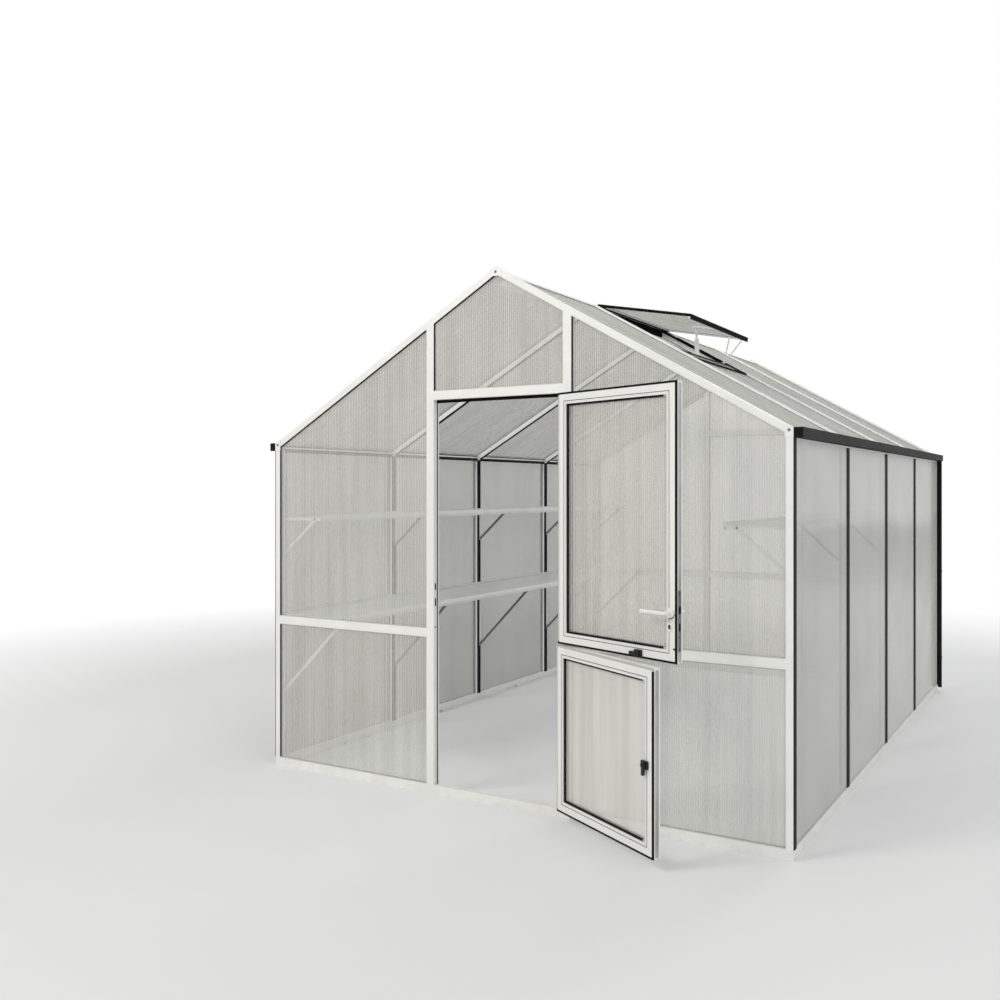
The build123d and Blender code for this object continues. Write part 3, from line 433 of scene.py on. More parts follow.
@dataclass(frozen=True)
class LeafRubber:
    """Rubber of a door leaf: black, with painted light that turns it pale at the hinge side, along the free side
    and along the head.
    """

    name: str
    across: Point
    hinge: float
    bottom: float
    top: float
    painted_light_head: float
    hinge_width: float = 30.0 * MM
    free_middle: float = 657.5 * MM
    free_half: float = 17.5 * MM
    rim: float = 12.0 * MM
    tone: Colour = (0.008, 0.008, 0.008)
    pale: Colour = (0.52, 0.515, 0.49)
    roughness: float = 0.7
    shine: float = 0.1
    grain: float = 420.0
    gloss_change: Pair = (-0.08, 0.08)

    def build(self) -> bpy.types.Material:
        """Build the node tree.

        Returns:
            The finish.
        """
        sh = Shader(bpy.data.materials.new(self.name))
        where = sh.add("TexCoord").outputs["Object"]
        x = sh.ramp(sh.vector("DOT_PRODUCT", where, self.across), 0.0, 1.0, self.hinge, self.hinge + 1.0)
        z = sh.add("SeparateXYZ", Vector=where).outputs["Z"]
        hinge_side = sh.math("LESS_THAN", x, self.hinge_width)
        free_side = sh.math("COMPARE", x, self.free_middle, self.free_half)
        half = (self.top - self.bottom) / 2 - self.rim
        between = sh.math("COMPARE", z, (self.bottom + self.top) / 2, half)
        sides = sh.math("MULTIPLY", sh.math("MAXIMUM", hinge_side, free_side), between)
        head = sh.math("GREATER_THAN", z, self.top - self.painted_light_head)
        shader = sh.add("BsdfPrincipled", Specular_IOR_Level=self.shine)
        # Painted light: the black rubber turns pale in the hinge, free-side and head bands.
        sh.link(sh.blend(sh.math("MAXIMUM", sides, head), self.tone, self.pale), shader.inputs["Base Color"])
        grain = sh.noise(sh.place(), self.grain, 1.0)
        sh.link(sh.gloss(grain, self.roughness, self.gloss_change), shader.inputs["Roughness"])
        return sh.finish(shader.outputs["BSDF"])


@dataclass(frozen=True)
class PaleFloor:
    """Pale floor that keeps the shadow near the house and turns white further out."""

    name: str = "pale_floor"
    tone: Colour = (0.84, 0.84, 0.83)
    shade: Colour = (0.81, 0.81, 0.80)
    roughness: float = 0.9
    patch_scale: float = 0.6
    middle: Point = (0.0, 2.0, 0.0)
    fade_start: float = 4.0
    fade_end: float = 7.5

    def build(self) -> bpy.types.Material:
        """Build the node tree.

        Returns:
            The finish.
        """
        sh = Shader(bpy.data.materials.new(self.name))
        patch = sh.noise(sh.place(), self.patch_scale, 3.0)
        shader = sh.add("BsdfPrincipled", Roughness=self.roughness)
        sh.link(sh.blend(patch, self.tone, self.shade), shader.inputs["Base Color"])
        away = sh.vector("DISTANCE", sh.add("TexCoord").outputs["Object"], self.middle)
        fade = sh.ramp(away, 0.0, 1.0, self.fade_start, self.fade_end)
        share = sh.math("MULTIPLY", fade, sh.add("LightPath").outputs["Is Camera Ray"])
        white = sh.add("Emission", Color=(*WHITE, 1.0), Strength=1.0)
        return sh.finish(sh.mix(share, shader.outputs["BSDF"], white.outputs[0]))


class Palette:
    """Every finish of the house, built once."""

    # Painted light and shade: the sheets are one material, given lighter and darker tones by where they stand.
    # shaded is painted shade for the side walls and the roof, sunny is painted light for the gables and the
    # upper leaf, and bright is stronger painted light for the lower leaf.
    shaded = SheetLook(tint=(0.38, 0.375, 0.35), haze=(0.28, 0.275, 0.255), alpha=0.50)
    matt = replace(shaded, shine=0.0)
    bright = SheetLook(tint=(0.80, 0.79, 0.74), haze=(0.66, 0.65, 0.60), alpha=0.45)
    sunny = SheetLook(tint=(0.66, 0.65, 0.60), haze=(0.52, 0.515, 0.475), alpha=0.32)

    def __init__(self) -> None:
        """Build the finishes."""
        self.frame = Aluminium(
            "frame_aluminium", tone=(0.87, 0.865, 0.835), shade=(0.82, 0.815, 0.785), metallic=0.06,
            roughness=0.38,
        ).build()
        # Painted light: the bars are a lighter copy of the frame's aluminium, standing in for the light that
        # they catch inside the house.
        self.bar = Aluminium(
            "bar_aluminium", tone=(0.93, 0.93, 0.91), shade=(0.87, 0.87, 0.85), metallic=0.04, roughness=0.36
        ).build()
        self.shelf = Aluminium(
            "shelf_aluminium", tone=(0.76, 0.76, 0.755), shade=(0.68, 0.68, 0.675), metallic=0.25,
            roughness=0.40,
        ).build()
        self.gable_sheet = TwinWall("gable_sheet", self.sunny, (22.0, 1.0, 0.8)).build()
        self.wall_sheet = TwinWall("wall_sheet", self.shaded, (1.0, 22.0, 0.8)).build()
        self.roof_sheet = TwinWall("roof_sheet", self.matt, (0.8, 22.0, 0.8)).build()
        self.upper_sheet = TwinWall("upper_leaf_sheet", self.sunny, (22.0, 1.0, 0.8), turn=20.5).build()
        self.lower_sheet = TwinWall("lower_leaf_sheet", self.bright, (22.0, 1.0, 0.8), turn=30.0).build()
        self.web = FluteWeb().build()
        self.dark = Coating(
            "dark_paint", tone=(0.008, 0.0075, 0.0075), worn=(0.016, 0.015, 0.015), roughness=0.55,
            grain=180.0, shine=0.08,
        ).build()
        self.seal = Coating(
            "black_rubber", tone=(0.005, 0.005, 0.005), worn=(0.011, 0.011, 0.011), roughness=0.75,
            grain=420.0, shine=0.05,
        ).build()
        self.pale_seal = Coating(
            "pale_rubber", tone=(0.66, 0.655, 0.63), worn=(0.56, 0.555, 0.53), roughness=0.6, grain=420.0
        ).build()
        self.black = Coating(
            "black_plastic", tone=(0.009, 0.009, 0.010), worn=(0.018, 0.018, 0.019), roughness=0.40,
            grain=520.0, shine=0.3,
        ).build()
        self.zinc = Coating(
            "zinc_plate", tone=(0.50, 0.50, 0.49), worn=(0.32, 0.315, 0.30), roughness=0.34, grain=900.0,
            depth=0.1 * MM, metallic=0.8,
        ).build()
        self.steel = Coating(
            "dull_steel", tone=(0.20, 0.20, 0.20), worn=(0.13, 0.13, 0.13), roughness=0.42, grain=700.0,
            depth=0.1 * MM, metallic=0.5,
        ).build()


# Node trees


class NodeGraph:
    """Geometry node tree with named inputs, built in the script."""

    def __init__(self, name: str) -> None:
        """Make an empty tree with a geometry input and output.

        Args:
            name: Name of the tree.
        """
        self.group = bpy.data.node_groups.new(name, "GeometryNodeTree")
        self.sockets("Geometry", "Geometry")
        self.group.interface.new_socket("Geometry", in_out="OUTPUT", socket_type="NodeSocketGeometry")
        self.entry = self.group.nodes.new("NodeGroupInput")
        self.exit = self.group.nodes.new("NodeGroupOutput")

    def sockets(self, kind: str, *names: str) -> None:
        """Add named inputs of a kind such as Float or Vector."""
        for name in names:
            self.group.interface.new_socket(name, in_out="INPUT", socket_type="NodeSocket" + kind)

    def add(self, kind: str, **settings: object) -> bpy.types.Node:
        """Add a node, set its properties and feed its inputs.

        Args:
            kind: Full node type.
            **settings: Sockets or values by input name with underscores, or by property name.

        Returns:
            The new node.
        """
        node = self.group.nodes.new(kind)
        waiting: dict[str, object] = {}
        for key, value in settings.items():
            if key.islower() and hasattr(node, key):
                setattr(node, key, value)
            else:
                waiting[key] = value
        for key, value in waiting.items():
            self.feed(node.inputs[key.replace("_", " ")], value)
        return node

    def feed(self, target: bpy.types.NodeSocket, value: object) -> None:
        """Give one input its socket or its value.

        Args:
            target: The input.
            value: Socket that it is linked to, or a plain value.
        """
        if isinstance(value, bpy.types.NodeSocket):
            self.group.links.new(value, target)
        else:
            target.default_value = value

    def math(self, operation: str, first: object, second: object = 0.0) -> bpy.types.NodeSocket:
        """Add a math node.

        Args:
            operation: Math operation.
            first: First socket or number.
            second: Second socket or number.

        Returns:
            Value socket.
        """
        node = self.add("ShaderNodeMath", operation=operation)
        self.feed(node.inputs[0], first)
        self.feed(node.inputs[1], second)
        return node.outputs[0]

    def vector(self, operation: str, first: object, second: object = (0.0, 0.0, 0.0)) -> bpy.types.NodeSocket:
        """Add a vector math node.

        Args:
            operation: Vector operation.
            first: First socket or vector.
            second: Second socket or vector.

        Returns:
            Vector socket, or the value of a dot product or length.
        """
        node = self.add("ShaderNodeVectorMath", operation=operation)
        self.feed(node.inputs[0], first)
        self.feed(node.inputs[1], second)
        return node.outputs["Value" if operation in ("DOT_PRODUCT", "LENGTH") else "Vector"]

    def scaled(self, vector: object, amount: object) -> bpy.types.NodeSocket:
        """Scale a vector by a number.

        Args:
            vector: Socket or vector.
            amount: Socket or number.

        Returns:
            Vector socket.
        """
        node = self.add("ShaderNodeVectorMath", operation="SCALE")
        self.feed(node.inputs[0], vector)
        self.feed(node.inputs["Scale"], amount)
        return node.outputs["Vector"]

    def named(self, name: str, kind: str) -> bpy.types.NodeSocket:
        """Read a named attribute.

        Args:
            name: Name of the attribute.
            kind: Data type.

        Returns:
            Socket with the attribute.
        """
        node = self.add("GeometryNodeInputNamedAttribute", data_type=kind)
        node.inputs["Name"].default_value = name
        return node.outputs["Attribute"]

    def close(self, geometry: bpy.types.NodeSocket, material: bpy.types.NodeSocket) -> bpy.types.NodeSocket:
        """Realize the instances, set the material and join the output.

        Args:
            geometry: Geometry socket.
            material: Material socket.

        Returns:
            Geometry socket that went to the output.
        """
        real = self.add("GeometryNodeRealizeInstances", Geometry=geometry)
        paint = self.add("GeometryNodeSetMaterial", Geometry=real.outputs["Geometry"], Material=material)
        self.group.links.new(paint.outputs["Geometry"], self.exit.inputs[0])
        return paint.outputs["Geometry"]

    def bake(self, mesh: bpy.types.Mesh, inputs: dict[str, object]) -> bpy.types.Mesh:
        """Run the tree over a mesh and hand back a plain mesh.

        Args:
            mesh: Mesh that the tree starts from.
            inputs: Values by input name.

        Returns:
            The baked mesh.
        """
        holder = bpy.data.objects.new("holder", mesh)
        bpy.context.scene.collection.objects.link(holder)
        modifier = holder.modifiers.new("nodes", "NODES")
        modifier.node_group = self.group
        for item in self.group.interface.items_tree:
            if item.in_out == "INPUT" and item.name in inputs:
                modifier[item.identifier] = inputs[item.name]
        graph = bpy.context.evaluated_depsgraph_get()
        baked = bpy.data.meshes.new_from_object(holder.evaluated_get(graph), depsgraph=graph)
        holder.modifiers.remove(modifier)
        bpy.data.objects.remove(holder)
        return baked


class FluteTree(NodeGraph):
    """Fills a flat sheet with webs, each cut to the sheet's outline."""

    lead = 50.0 * MM
    step = 1.0 * MM
    shortest = 12.0 * MM

    def __init__(self) -> None:
        """Build the tree with inputs Along, Across, Normal, Pitch, Web, Depth, Inset and Material."""
        super().__init__("sheet_flutes")
        self.sockets("Vector", "Along", "Across", "Normal")
        self.sockets("Float", "Pitch", "Web", "Depth", "Inset")
        self.sockets("Material", "Material")
        entry = self.entry.outputs
        flutes = self.measure(*self.columns())
        put = self.add("GeometryNodeSetPosition", Geometry=flutes[0], Position=flutes["centre"])
        short = self.math("LESS_THAN", self.math("MULTIPLY", flutes["hit"], flutes["tall"]), self.shortest)
        kept = self.add("GeometryNodeDeleteGeometry", Geometry=put.outputs[0], Selection=short)
        turn = self.add(
            "FunctionNodeAxesToRotation", Primary_Axis=entry["Along"], Secondary_Axis=entry["Across"]
        )
        tall = self.math("SUBTRACT", flutes["tall"], self.step)
        size = self.add("ShaderNodeCombineXYZ", X=entry["Web"], Y=entry["Depth"], Z=tall)
        spread = self.add(
            "GeometryNodeInstanceOnPoints", Points=kept.outputs[0],
            Instance=self.add("GeometryNodeMeshCube").outputs["Mesh"],
            Rotation=turn.outputs[0], Scale=size.outputs[0],
        )
        self.close(spread.outputs[0], entry["Material"])

    def columns(self) -> tuple[bpy.types.NodeSocket, bpy.types.NodeSocket]:
        """Space the webs evenly across the sheet.

        Returns:
            A point for each web, and where the look for its foot starts.
        """
        entry = self.entry.outputs
        low, high = self.spans()
        width = self.math("SUBTRACT", high["Across"], low["Across"])
        room = self.math("SUBTRACT", width, self.math("MULTIPLY", entry["Inset"], 2.0))
        steps = self.math("FLOOR", self.math("DIVIDE", room, entry["Pitch"]))
        filled = self.math("MULTIPLY", steps, entry["Pitch"])
        spare = self.math("MULTIPLY", self.math("SUBTRACT", room, filled), 0.5)
        points = self.add("GeometryNodePoints", Count=self.math("ADD", steps, 1.0))
        index = self.add("GeometryNodeInputIndex").outputs[0]
        first = self.math("ADD", self.math("ADD", low["Across"], entry["Inset"]), spare)
        reach = self.math("ADD", first, self.math("MULTIPLY", index, entry["Pitch"]))
        middle = self.math("MULTIPLY", self.math("ADD", low["Normal"], high["Normal"]), 0.5)
        level = self.vector("ADD", self.scaled(entry["Across"], reach), self.scaled(entry["Normal"], middle))
        below = self.scaled(entry["Along"], self.math("SUBTRACT", low["Along"], self.lead))
        return points.outputs[0], self.vector("ADD", level, below)

    def measure(self, points: bpy.types.NodeSocket,
                start: bpy.types.NodeSocket) -> bpy.types.bpy_prop_collection:
        """Find the foot and the head of each web.

        Args:
            points: A point for each web.
            start: Where the look for its foot starts.

        Returns:
            The points, with the middle and the length of each web, and 1 where it has a foot and a head.
        """
        foot = self.cast(start)
        step = self.scaled(self.entry.outputs["Along"], self.step)
        inside = self.vector("ADD", foot.outputs["Hit Position"], step)
        head = self.cast(inside)
        ends = (foot.outputs["Hit Position"], head.outputs["Hit Position"])
        keep = self.add("GeometryNodeCaptureAttribute")
        for kind, name in (("VECTOR", "centre"), ("FLOAT", "tall"), ("FLOAT", "hit")):
            keep.capture_items.new(kind, name)
        self.feed(keep.inputs[0], points)
        self.feed(keep.inputs["centre"], self.scaled(self.vector("ADD", *ends), 0.5))
        self.feed(keep.inputs["tall"], self.vector("LENGTH", self.vector("SUBTRACT", *ends)))
        self.feed(keep.inputs["hit"], self.math("MULTIPLY", foot.outputs["Is Hit"], head.outputs["Is Hit"]))
        return keep.outputs

    def spans(self) -> tuple[dict[str, bpy.types.NodeSocket], dict[str, bpy.types.NodeSocket]]:
        """Measure the sheet along its three directions.

        Returns:
            Lowest and highest value by direction.
        """
        place = self.add("GeometryNodeInputPosition").outputs[0]
        low: dict[str, bpy.types.NodeSocket] = {}
        high: dict[str, bpy.types.NodeSocket] = {}
        for name in ("Along", "Across", "Normal"):
            value = self.vector("DOT_PRODUCT", place, self.entry.outputs[name])
            node = self.add(
                "GeometryNodeAttributeStatistic", data_type="FLOAT", Geometry=self.entry.outputs["Geometry"],
                Attribute=value,
            )
            low[name] = node.outputs["Min"]
            high[name] = node.outputs["Max"]
        return low, high

    def cast(self, start: bpy.types.NodeSocket) -> bpy.types.Node:
        """Look along the flute for the sheet's next face.

        Args:
            start: Where the look starts.

        Returns:
            The raycast node.
        """
        return self.add(
            "GeometryNodeRaycast", Target_Geometry=self.entry.outputs["Geometry"],
            Source_Position=start, Ray_Direction=self.entry.outputs["Along"],
        )


class StripTree(NodeGraph):
    """Sweeps a flat strip along polylines: seals, trims and liners."""

    def __init__(self) -> None:
        """Build the tree with inputs Facing, Width, Height and Material."""
        super().__init__("swept_strip")
        self.sockets("Vector", "Facing")
        self.sockets("Float", "Width", "Height")
        self.sockets("Material", "Material")
        entry = self.entry.outputs
        line = self.add("GeometryNodeMeshToCurve", Mesh=entry["Geometry"])
        aimed = self.add(
            "GeometryNodeSetCurveNormal", mode="FREE", Curve=line.outputs[0], Normal=entry["Facing"]
        )
        wide = self.add(
            "GeometryNodeSetCurveRadius", Curve=aimed.outputs[0], Radius=self.named("mitre", "FLOAT")
        )
        bar = self.add("GeometryNodeCurvePrimitiveQuadrilateral", Width=entry["Height"], Height=entry["Width"])
        sweep = self.add(
            "GeometryNodeCurveToMesh", Curve=wide.outputs[0], Profile_Curve=bar.outputs[0], Fill_Caps=True
        )
        flat = self.add("GeometryNodeSetShadeSmooth", Geometry=sweep.outputs[0], Shade_Smooth=False)
        self.close(flat.outputs[0], entry["Material"])


class FastenerTree(NodeGraph):
    """Puts a screw or bolt head on each point, along the point's way."""

    rim_share = 0.6
    dome_share = 0.4
    dome_top = 0.62
    recess_length = 1.05
    recess_width = 0.26
    recess_depth = 0.3
    recess_middle = 0.87

    def __init__(self) -> None:
        """Build the tree with inputs Radius, Height, Sides, Material and Recess."""
        super().__init__("fasteners")
        self.sockets("Float", "Radius", "Height")
        self.sockets("Int", "Sides")
        self.sockets("Material", "Material", "Recess")
        entry = self.entry.outputs
        aim = self.add("FunctionNodeAlignRotationToVector", axis="Z", Vector=self.named("way", "FLOAT_VECTOR"))
        spread = self.add(
            "GeometryNodeInstanceOnPoints", Points=entry["Geometry"], Instance=self.head(),
            Rotation=aim.outputs[0],
        )
        whole = self.close(spread.outputs[0], entry["Material"])
        inlay = self.add(
            "GeometryNodeSetMaterial", Geometry=whole, Selection=self.named("recess", "BOOLEAN"),
            Material=entry["Recess"],
        )
        self.group.links.new(inlay.outputs["Geometry"], self.exit.inputs[0])

    def head(self) -> bpy.types.NodeSocket:
        """Make one head: a rim, a dome on it and the recess across the dome.

        Returns:
            Geometry socket of the head, whose recess has the attribute recess.
        """
        entry = self.entry.outputs
        shank = self.math("MULTIPLY", entry["Height"], self.rim_share)
        rim = self.add("GeometryNodeMeshCylinder", Vertices=entry["Sides"], Radius=entry["Radius"], Depth=shank)
        dome = self.add(
            "GeometryNodeMeshCone", Vertices=entry["Sides"], Radius_Bottom=entry["Radius"],
            Radius_Top=self.math("MULTIPLY", entry["Radius"], self.dome_top),
            Depth=self.math("MULTIPLY", entry["Height"], self.dome_share),
        )
        cut = self.add(
            "ShaderNodeCombineXYZ", X=self.math("MULTIPLY", entry["Radius"], self.recess_length),
            Y=self.math("MULTIPLY", entry["Radius"], self.recess_width),
            Z=self.math("MULTIPLY", entry["Height"], self.recess_depth),
        )
        mark = self.add("GeometryNodeMeshCube", Size=cut.outputs[0])
        slot = self.add(
            "GeometryNodeStoreNamedAttribute", data_type="BOOLEAN", domain="FACE", Geometry=mark.outputs["Mesh"],
            Name="recess", Value=True,
        )
        head = self.add("GeometryNodeJoinGeometry")
        for geometry, lift in (
            (rim.outputs["Mesh"], self.math("MULTIPLY", shank, 0.5)),
            (dome.outputs["Mesh"], shank),
            (slot.outputs[0], self.math("MULTIPLY", entry["Height"], self.recess_middle)),
        ):
            up = self.add("ShaderNodeCombineXYZ", Z=lift)
            move = self.add("GeometryNodeTransform", Geometry=geometry, Translation=up.outputs[0])
            self.group.links.new(move.outputs[0], head.inputs[0])
        return head.outputs[0]


# Shared building work


def loose_parts(node: str) -> list[bpy.types.Mesh]:
    """Copy a CAD node's mesh with its doubles merged, split into its solids.

    Args:
        node: Name of the node.

    Returns:
        One mesh for each solid, sorted by place.
    """
    work = bmesh.new()
    work.from_mesh(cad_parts[node].data)
    bmesh.ops.remove_doubles(work, verts=work.verts, dist=DOUBLES)
    left = set(work.verts)
    found: list[bpy.types.Mesh] = []
    while left:
        group = {left.pop()}
        edge = list(group)
        while edge:
            vert = edge.pop()
            fresh = {link.other_vert(vert) for link in vert.link_edges} - group
            group |= fresh
            edge.extend(fresh)
        left -= group
        keep = {vert.index for vert in group}
        part = work.copy()
        bmesh.ops.delete(part, geom=[v for v in part.verts if v.index not in keep], context="VERTS")
        mesh = bpy.data.meshes.new(node)
        part.to_mesh(mesh)
        part.free()
        found.append(mesh)
    work.free()
    return sorted(found, key=lambda mesh: tuple(round(value, 3) for value in box_of(mesh)[0]))


def box_of(mesh: bpy.types.Mesh) -> tuple[Vector, Vector]:
    """Give the lowest and highest corner of a mesh.

    Args:
        mesh: The mesh.

    Returns:
        Both corners.
    """
    low = Vector([min(v.co[axis] for v in mesh.vertices) for axis in range(3)])
    high = Vector([max(v.co[axis] for v in mesh.vertices) for axis in range(3)])
    return low, high


def span(mesh: bpy.types.Mesh, direction: Vector) -> Pair:
    """Measure a mesh along a direction.

    Args:
        mesh: The mesh.
        direction: Unit vector.

    Returns:
        Lowest and highest value.
    """
    values = [v.co.dot(direction) for v in mesh.vertices]
    return min(values), max(values)


def write_mesh(work: bmesh.types.BMesh, name: str) -> bpy.types.Mesh:
    """Turn all faces outwards and write them to a mesh.

    Args:
        work: The faces, freed afterwards.
        name: Name of the mesh.

    Returns:
        The mesh.
    """
    bmesh.ops.recalc_face_normals(work, faces=work.faces)
    mesh = bpy.data.meshes.new(name)
    work.to_mesh(mesh)
    work.free()
    return mesh


def ease(work: bmesh.types.BMesh, edges: list[bmesh.types.BMEdge], width: float) -> None:
    """Ease edges with a soft bevel, where it has a width.

    Args:
        work: What the edges belong to.
        edges: The edges.
        width: Width of the bevel.
    """
    if width:
        bmesh.ops.bevel(
            work, geom=edges, offset=width, segments=BEVEL_STEPS, affect="EDGES", profile=BEVEL_PROFILE
        )


def merge(meshes: list[bpy.types.Mesh]) -> bpy.types.Mesh:
    """Join meshes that have the same materials, with all faces turned outwards.

    Args:
        meshes: The meshes.

    Returns:
        The joined mesh.
    """
    work = bmesh.new()
    for mesh in meshes:
        work.from_mesh(mesh)
    joined = write_mesh(work, "joined")
    for material in meshes[0].materials:
        joined.materials.append(material)
    return joined


@dataclass(frozen=True)
class Flat:
    """Directions of a flat piece: across and along span it, normal stands on it."""

    across: Vector
    along: Vector
    normal: Vector

    def world(self, across: float, along: float, normal: float) -> Vector:
        """Give the point at three distances."""
        return self.across * across + self.along * along + self.normal * normal

    def outline(self, mesh: bpy.types.Mesh) -> list[Pair]:
        """Give the corners of a convex sheet, anticlockwise in across and along.

        Args:
            mesh: The sheet.

        Returns:
            Corners, without those in a straight run.
        """
        spots = sorted({
            (round(v.co.dot(self.across), 5), round(v.co.dot(self.along), 5)) for v in mesh.vertices
        })
        halves: list[list[Pair]] = []
        for run in (spots, spots[::-1]):
            half: list[Pair] = []
            for spot in run:
                while len(half) > 1 and bend(half[-2], half[-1], spot) < STRAIGHT:
                    half.pop()
                half.append(spot)
            halves.append(half[:-1])
        return halves[0] + halves[1]

    def ring(self, mesh: bpy.types.Mesh, inset: float, normal: float) -> Path:
        """Give a closed path inside a convex sheet's outline.

        Args:
            mesh: The sheet.
            inset: Distance inside the outline.
            normal: Distance along the normal.

        Returns:
            The path's corners.
        """
        corners = self.outline(mesh)
        path: Path = []
        for index, corner in enumerate(corners):
            before = Vector(corner) - Vector(corners[index - 1])
            after = Vector(corners[(index + 1) % len(corners)]) - Vector(corner)
            before.normalize()
            after.normalize()
            inward = Vector((-before.y - after.y, before.x + after.x))
            inward *= inset / (1.0 + before.dot(after))
            path.append(self.world(corner[0] + inward.x, corner[1] + inward.y, normal))
        return path


GABLE = Flat(X, Z, Y)
WALL = Flat(Y, Z, X)
LEVEL = Flat(X, Y, Z)


def slope(pitch: float, side: Side) -> Flat:
    """Give the directions of a slope: across to the back, along down the slope, and outwards.

    Args:
        pitch: Its angle to the ground in degrees.
        side: Side of the house that it falls to.

    Returns:
        The directions.
    """
    angle = math.radians(pitch)
    level, rise = math.cos(angle), math.sin(angle)
    return Flat(Y, Vector((side.value * level, 0.0, -rise)), Vector((side.value * rise, 0.0, level)))


@dataclass(frozen=True)
class SideBox:
    """Box of a piece that stands at one of the side walls."""

    low: Vector
    high: Vector

    @property
    def side(self) -> float:
        """Give its side of the house, as the sign of X."""
        return 1.0 if self.low.x > 0 else -1.0

    @property
    def inner(self) -> float:
        """Give the X of the face towards the middle of the house."""
        return self.low.x if self.side > 0 else self.high.x

    @property
    def outer(self) -> float:
        """Give the X of the face away from the middle of the house."""
        return self.high.x if self.side > 0 else self.low.x

    @property
    def middle(self) -> float:
        """Give its middle along Y."""
        return (self.low.y + self.high.y) / 2

    def upright(self, across: float, along: float) -> Path:
        """Give an upright line as tall as the box."""
        return [Vector((across, along, level)) for level in (self.low.z, self.high.z)]


def bars(node: str) -> list[SideBox]:
    """Give the boxes of the solids of a node."""
    return [SideBox(*box_of(mesh)) for mesh in loose_parts(node)]


def bend(first: Pair, second: Pair, third: Pair) -> float:
    """Give twice the area of a triangle, above 0 where it turns left.

    Args:
        first: First corner.
        second: Second corner.
        third: Third corner.

    Returns:
        Signed area.
    """
    return (second[0] - first[0]) * (third[1] - first[1]) - (second[1] - first[1]) * (third[0] - first[0])


def path_mesh(paths: list[Path], closed: bool) -> bpy.types.Mesh:
    """Make a mesh of polylines with the widening that each corner needs.

    Args:
        paths: The polylines.
        closed: Whether each comes back to its start.

    Returns:
        Mesh of edges with the attribute mitre.
    """
    points: list[Vector] = []
    edges: list[tuple[int, int]] = []
    mitres: list[float] = []
    for path in paths:
        start = len(points)
        count = len(path)
        points.extend(path)
        edges.extend((start + i, start + (i + 1) % count) for i in range(count if closed else count - 1))
        for i, here in enumerate(path):
            inner = closed or 0 < i < count - 1
            before = (here - path[i - 1]).normalized()
            after = (path[(i + 1) % count] - here).normalized()
            mitres.append(1.0 / math.cos(before.angle(after) / 2) if inner else 1.0)
    mesh = bpy.data.meshes.new("path")
    mesh.from_pydata(points, edges, [])
    mesh.attributes.new("mitre", "FLOAT", "POINT").data.foreach_set("value", mitres)
    return mesh


def spot_mesh(spots: list[Spot]) -> bpy.types.Mesh:
    """Make a mesh of points, each with the way that its fastener looks.

    Args:
        spots: Places and directions.

    Returns:
        Mesh of points with the attribute way.
    """
    mesh = bpy.data.meshes.new("spots")
    mesh.from_pydata([place for place, _ in spots], [], [])
    ways = [value for _, way in spots for value in way]
    mesh.attributes.new("way", "FLOAT_VECTOR", "POINT").data.foreach_set("vector", ways)
    return mesh


def block(middle: Vector, flat: Flat, size: Point, bevel: float = 0.0) -> bpy.types.Mesh:
    """Make a box that lies along a flat piece, with its edges eased.

    Args:
        middle: Middle of the box.
        flat: Directions across, along and normal.
        size: Sizes in those directions.
        bevel: Width of the eased edges.

    Returns:
        Mesh of the box.
    """
    work = bmesh.new()
    bmesh.ops.create_cube(work, size=1.0)
    for vert in work.verts:
        x, y, z = (value * length for value, length in zip(vert.co, size))
        vert.co = middle + flat.world(x, y, z)
    ease(work, work.edges[:], bevel)
    return write_mesh(work, "block")


def drum(start: Vector, way: Vector, radius: float, length: float, sides: int, bevel: float = 0.0,
         tall: float = 1.0) -> bpy.types.Mesh:
    """Make a round or oval piece from a start point along a way.

    Args:
        start: Middle of its first end.
        way: Unit vector along its axis.
        radius: Its radius.
        length: Its length.
        sides: Number of sides.
        bevel: Width of the eased rims.
        tall: Height of an oval over its width, where the way is level.

    Returns:
        Mesh of the piece.
    """
    work = bmesh.new()
    bmesh.ops.create_cone(
        work, cap_ends=True, segments=sides, radius1=radius, radius2=radius, depth=length
    )
    ease(work, [edge for edge in work.edges if edge.verts[0].co.z * edge.verts[1].co.z > 0], bevel)
    turn = way.to_track_quat("Z", "Y")
    for vert in work.verts:
        vert.co = start + way * (length / 2) + turn @ vert.co
        vert.co.z = start.z + (vert.co.z - start.z) * tall
    return write_mesh(work, "drum")


@dataclass
class Workshop:
    """The finishes and node trees that every sub-assembly shares."""

    palette: Palette = field(default_factory=Palette)
    flutes: FluteTree = field(default_factory=FluteTree)
    strips: StripTree = field(default_factory=StripTree)
    fasteners: FastenerTree = field(default_factory=FastenerTree)


@dataclass(frozen=True)
class Sheets:
    """Sizes of the twin-wall sheets, and how deep the frames hold them."""

    pitch: float = 10.5 * MM
    web: float = 0.45 * MM
    depth: float = 1.4 * MM
    inset: float = 7.0 * MM
    bite: float = 10.0 * MM


